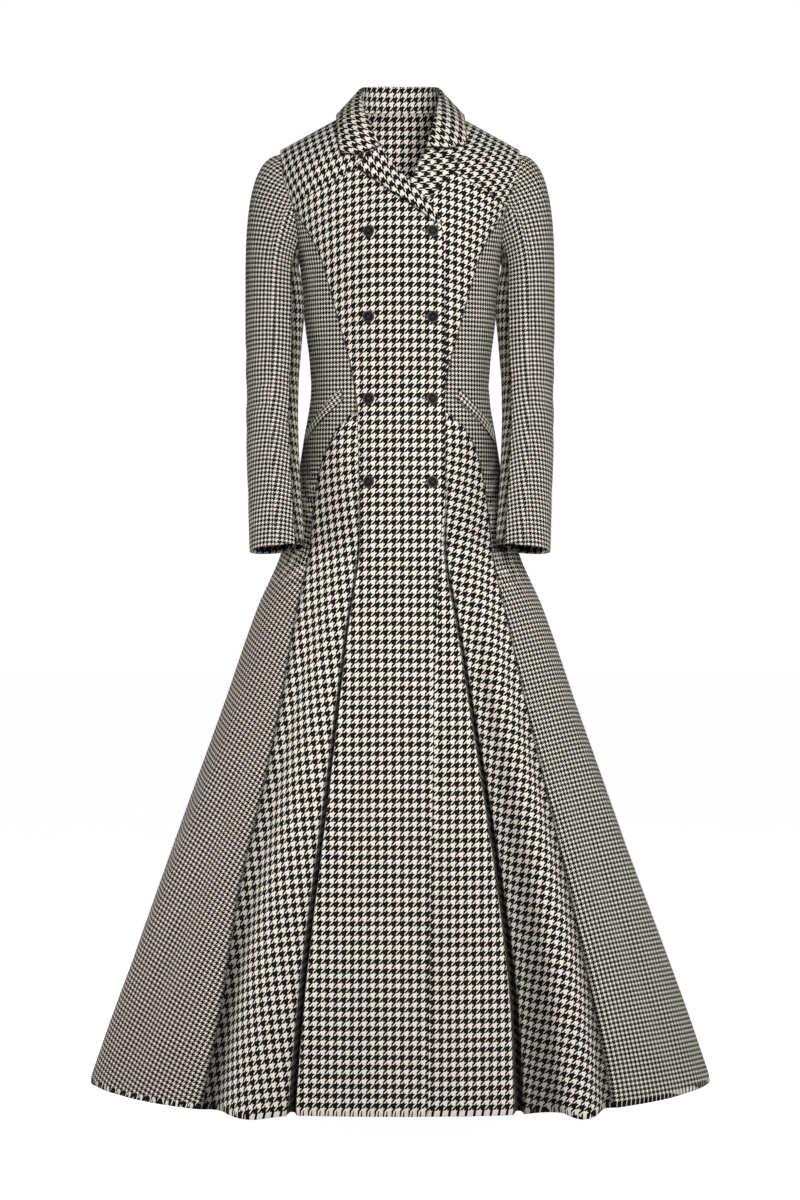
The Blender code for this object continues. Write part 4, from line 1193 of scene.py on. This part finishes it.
def sewingThread():
    material, shader, bench = startFinish("black thread")
    place = bench.node("ShaderNodeTexCoord", {}, {}, "Object")
    twist = bench.node("ShaderNodeTexWave", {"bands_direction": "DIAGONAL"},
                       {"Vector": place, **thread["twist"]})
    fillSockets(shader, {
        "Base Color": bench.mix(twist, *thread["tones"]),
        "Roughness": thread["roughness"] + twist * thread["twistRougher"],
        "Normal": bench.bump(thread["twistBump"], twist),
    })
    return material


faceFinish = blackPlastic("black button", *buttons["face"])
rimGlossAndPaintedHighlight = blackPlastic("black button rim", *buttons["rim"])
threadFinish = sewingThread()


def finishPiece(name, bm, materials, node=None):
    bmesh.ops.recalc_face_normals(bm, faces=bm.faces[:])
    bm.verts.index_update()
    count = len(bm.verts)

    def faceKey(face):
        low, second, *rest = sorted(vert.index for vert in face.verts)
        return (low * count + second) * count + rest[-1]

    bm.faces.sort(key=faceKey)  # spin leaves the faces in another order each run
    piece = placePiece(name, meshFrom(name, bm), materials, node)
    piece.data.set_sharp_from_angle(angle=math.radians(buttons["sharpAngle"]))
    return piece


def seatOn(x, height):  # where a button lies on the right front, and its tilt
    rim = [frontFace(x + buttons["radius"] * math.cos(turn), height + buttons["radius"] * math.sin(turn))
           for turn in np.arange(8) * math.pi / 4]
    centre = np.mean(rim, axis=0)
    normal = np.cross(rim[0] - rim[4], rim[2] - rim[6])
    normal /= np.linalg.norm(normal)
    rise = max(np.dot(point - centre, normal) for point in rim + [frontFace(x, height)])
    upright = Vector(rim[2] - rim[6]).normalized()
    rightward = upright.cross(Vector(normal))
    turn = Matrix((rightward, upright, Vector(normal))).transposed().to_4x4()
    return Matrix.Translation(centre + normal * (rise + buttons["lift"])) @ turn


def turnedButton(seat):
    bm = bmesh.new()
    corners = [bm.verts.new((radius, 0, z)) for radius, z in buttons["section"]]
    edges = [bm.edges.new(pair) for pair in zip(corners, corners[1:])]
    bmesh.ops.spin(bm, geom=corners + edges, cent=(0, 0, 0), axis=(0, 0, 1), angle=2 * math.pi,
                   steps=buttons["sides"], use_merge=True)
    bmesh.ops.remove_doubles(bm, verts=bm.verts[:], dist=buttons["weld"])
    for face in bm.faces:
        face.material_index = int(face.calc_center_median().xy.length > buttons["rimFrom"])
    bmesh.ops.transform(bm, matrix=seat, verts=bm.verts[:])
    return bm


def addBar(bm, segments, radius, length, place):
    bar = bmesh.ops.create_cone(bm, cap_ends=True, segments=segments, radius1=radius, radius2=radius,
                                depth=length)
    bmesh.ops.transform(bm, matrix=place, verts=bar["verts"])


def crossStitch(seat):  # two short bars of thread over the four holes, and the dark wells under their ends
    bm = bmesh.new()
    for turn in (45, -45):
        way = Matrix.Rotation(math.radians(turn), 4, "Z")
        high = buttons["threadHeight"] + buttons["threadOver"] * (turn > 0)
        lay = Matrix.Translation((0, 0, high)) @ way @ Matrix.Rotation(math.pi / 2, 4, "Y")
        addBar(bm, buttons["threadSides"], buttons["threadRadius"], 2 * buttons["holeOut"], lay)
        for out in (-1, 1):
            spot = Matrix.Translation(way @ Vector((out * buttons["holeOut"], 0, buttons["wellHeight"])))
            addBar(bm, buttons["wellSides"], buttons["holeRadius"], buttons["wellDepth"], spot)
    bmesh.ops.transform(bm, matrix=seat, verts=bm.verts[:])
    return bm


def buttonhole(x, height):  # a worked slit beside the button, lying on the cloth
    bm = bmesh.new()
    columns, rows = buttons["holeGrid"]
    bmesh.ops.create_grid(bm, x_segments=columns, y_segments=rows, size=1.0)
    widest, taper = buttons["holeTaper"]
    slitDepth, slitHalf, slitFrom = buttons["slit"]
    for vert in bm.verts:
        s, t = (vert.co.x + 1) / 2, vert.co.y
        ends = math.sqrt(max(1 - (2 * s - 1) ** buttons["holeSquare"], 0.0))
        wide = buttons["holeWidth"] / 2 * ends * (widest - taper * s)
        slit = slitDepth * math.exp(-((t / slitHalf) ** 2)) * (slitFrom < s)
        spotX, spotHeight = np.array(x - buttons["holeLength"] * (1 - s)), np.array(height + wide * t)
        lift = float(lapLift(spotX, spotHeight)) + buttons["holeRaised"] * (1 - t * t) - slit
        vert.co = onBody(angleAt(spotX, spotHeight), spotHeight, lift, True)[0]
    return bm


for word, x in buttons["columns"].items():
    for number, height in enumerate(buttons["rows"], 1):
        seat = seatOn(x, height)
        name = f"button_{word}_{number}"
        finishPiece(name + "_turned", turnedButton(seat), (faceFinish, rimGlossAndPaintedHighlight), name)
        finishPiece(name + "_stitch", crossStitch(seat), (threadFinish,))
        if word == "left":
            finishPiece(f"buttonhole_{number}", buttonhole(x, height), (threadFinish,))
print("buttons ready")

declareCloth("back")
declareCloth("collar")
for side, word in sides:
    yoke, front = "yoke_" + word, "front_" + word
    declareCloth(yoke)
    declareCloth(front)
    declareCloth("gore_" + word)
    declareCloth("side_" + word)
    declareCloth("sleeve_top_" + word)
    declareCloth("sleeve_under_" + word)
    declareCloth("lapel_" + word)
    declareCloth("welt_" + word)
for name, (wide, long, area) in cutList.items():
    print(f"cut {name} {wide:.3f} x {long:.3f} m, {area:.3f} m2")

studio = {
    "cameraPlace": (0.0, -7.0, -0.72),
    "lens": 140.0,
    "sensor": 36.0,
    "floor": -1.505,
    "floorHalf": 40.0,
    "floorFinish": {
        "Base Color": (0.8, 0.8, 0.8, 1.0), "Roughness": 0.9, "Emission Color": (1.0, 1.0, 1.0, 1.0),
        "Emission Strength": 0.96,
    },
    # lamp place, aim, size, spread in degrees, power
    "lamps": {
        "front softbox": ((0.9, -5.3, 0.6), (0.0, 0.0, 0.0), 1.6, 62.0, 34.0),
        "rear softbox": ((-0.6, 5.5, 0.8), (0.0, 0.0, -0.2), 2.0, 62.0, 26.0),
        "right side softbox": ((-4.2, -1.2, -0.9), (-0.3, 0.0, -1.15), 1.2, 34.0, 4.5),
        "left side softbox": ((4.2, -1.2, -0.9), (0.3, 0.0, -1.15), 1.2, 34.0, 3.5),
    },
    "ambient": 0.03,
}


def addLamp(name, place, aim, size, spreadAngle, power):
    lamp = bpy.data.lights.new(name, "AREA")
    lamp.size = size
    lamp.spread = math.radians(spreadAngle)
    lamp.energy = power
    holder = newObject(name, lamp)
    holder.location = place
    holder.rotation_euler = (Vector(aim) - Vector(place)).to_track_quat("-Z", "Y").to_euler()


for name, lampValues in studio["lamps"].items():
    addLamp(name, *lampValues)

camera = newObject("camera", bpy.data.cameras.new("camera"))
camera.location = studio["cameraPlace"]
camera.rotation_euler = (math.radians(90), 0, 0)
camera.data.lens = studio["lens"]
camera.data.sensor_width = studio["sensor"]
bpy.context.scene.camera = camera

bm = bmesh.new()
bmesh.ops.create_grid(bm, x_segments=1, y_segments=1, size=studio["floorHalf"])
bmesh.ops.translate(bm, verts=bm.verts[:], vec=(0, 0, studio["floor"]))
floor = newObject("floor", meshFrom("floor", bm))
floorFinish, floorShader, _ = startFinish("pale floor")
fillSockets(floorShader, studio["floorFinish"])
floor.data.materials.append(floorFinish)
floor.visible_diffuse = False  # the floor shows white and throws no light up the skirt
floor.visible_glossy = False

world = bpy.data.worlds.new("white room")
world.use_nodes = True
bpy.context.scene.world = world
room = Wire(world.node_tree)
seenWhite = room.node("ShaderNodeLightPath", {}, {}, "Is Camera Ray")
strength = studio["ambient"] + seenWhite * (1.0 - studio["ambient"])
fillSockets(world.node_tree.nodes["Background"], {"Color": (1.0, 1.0, 1.0, 1.0), "Strength": strength})
bpy.context.scene.view_settings.view_transform = "Standard"
print("studio ready")
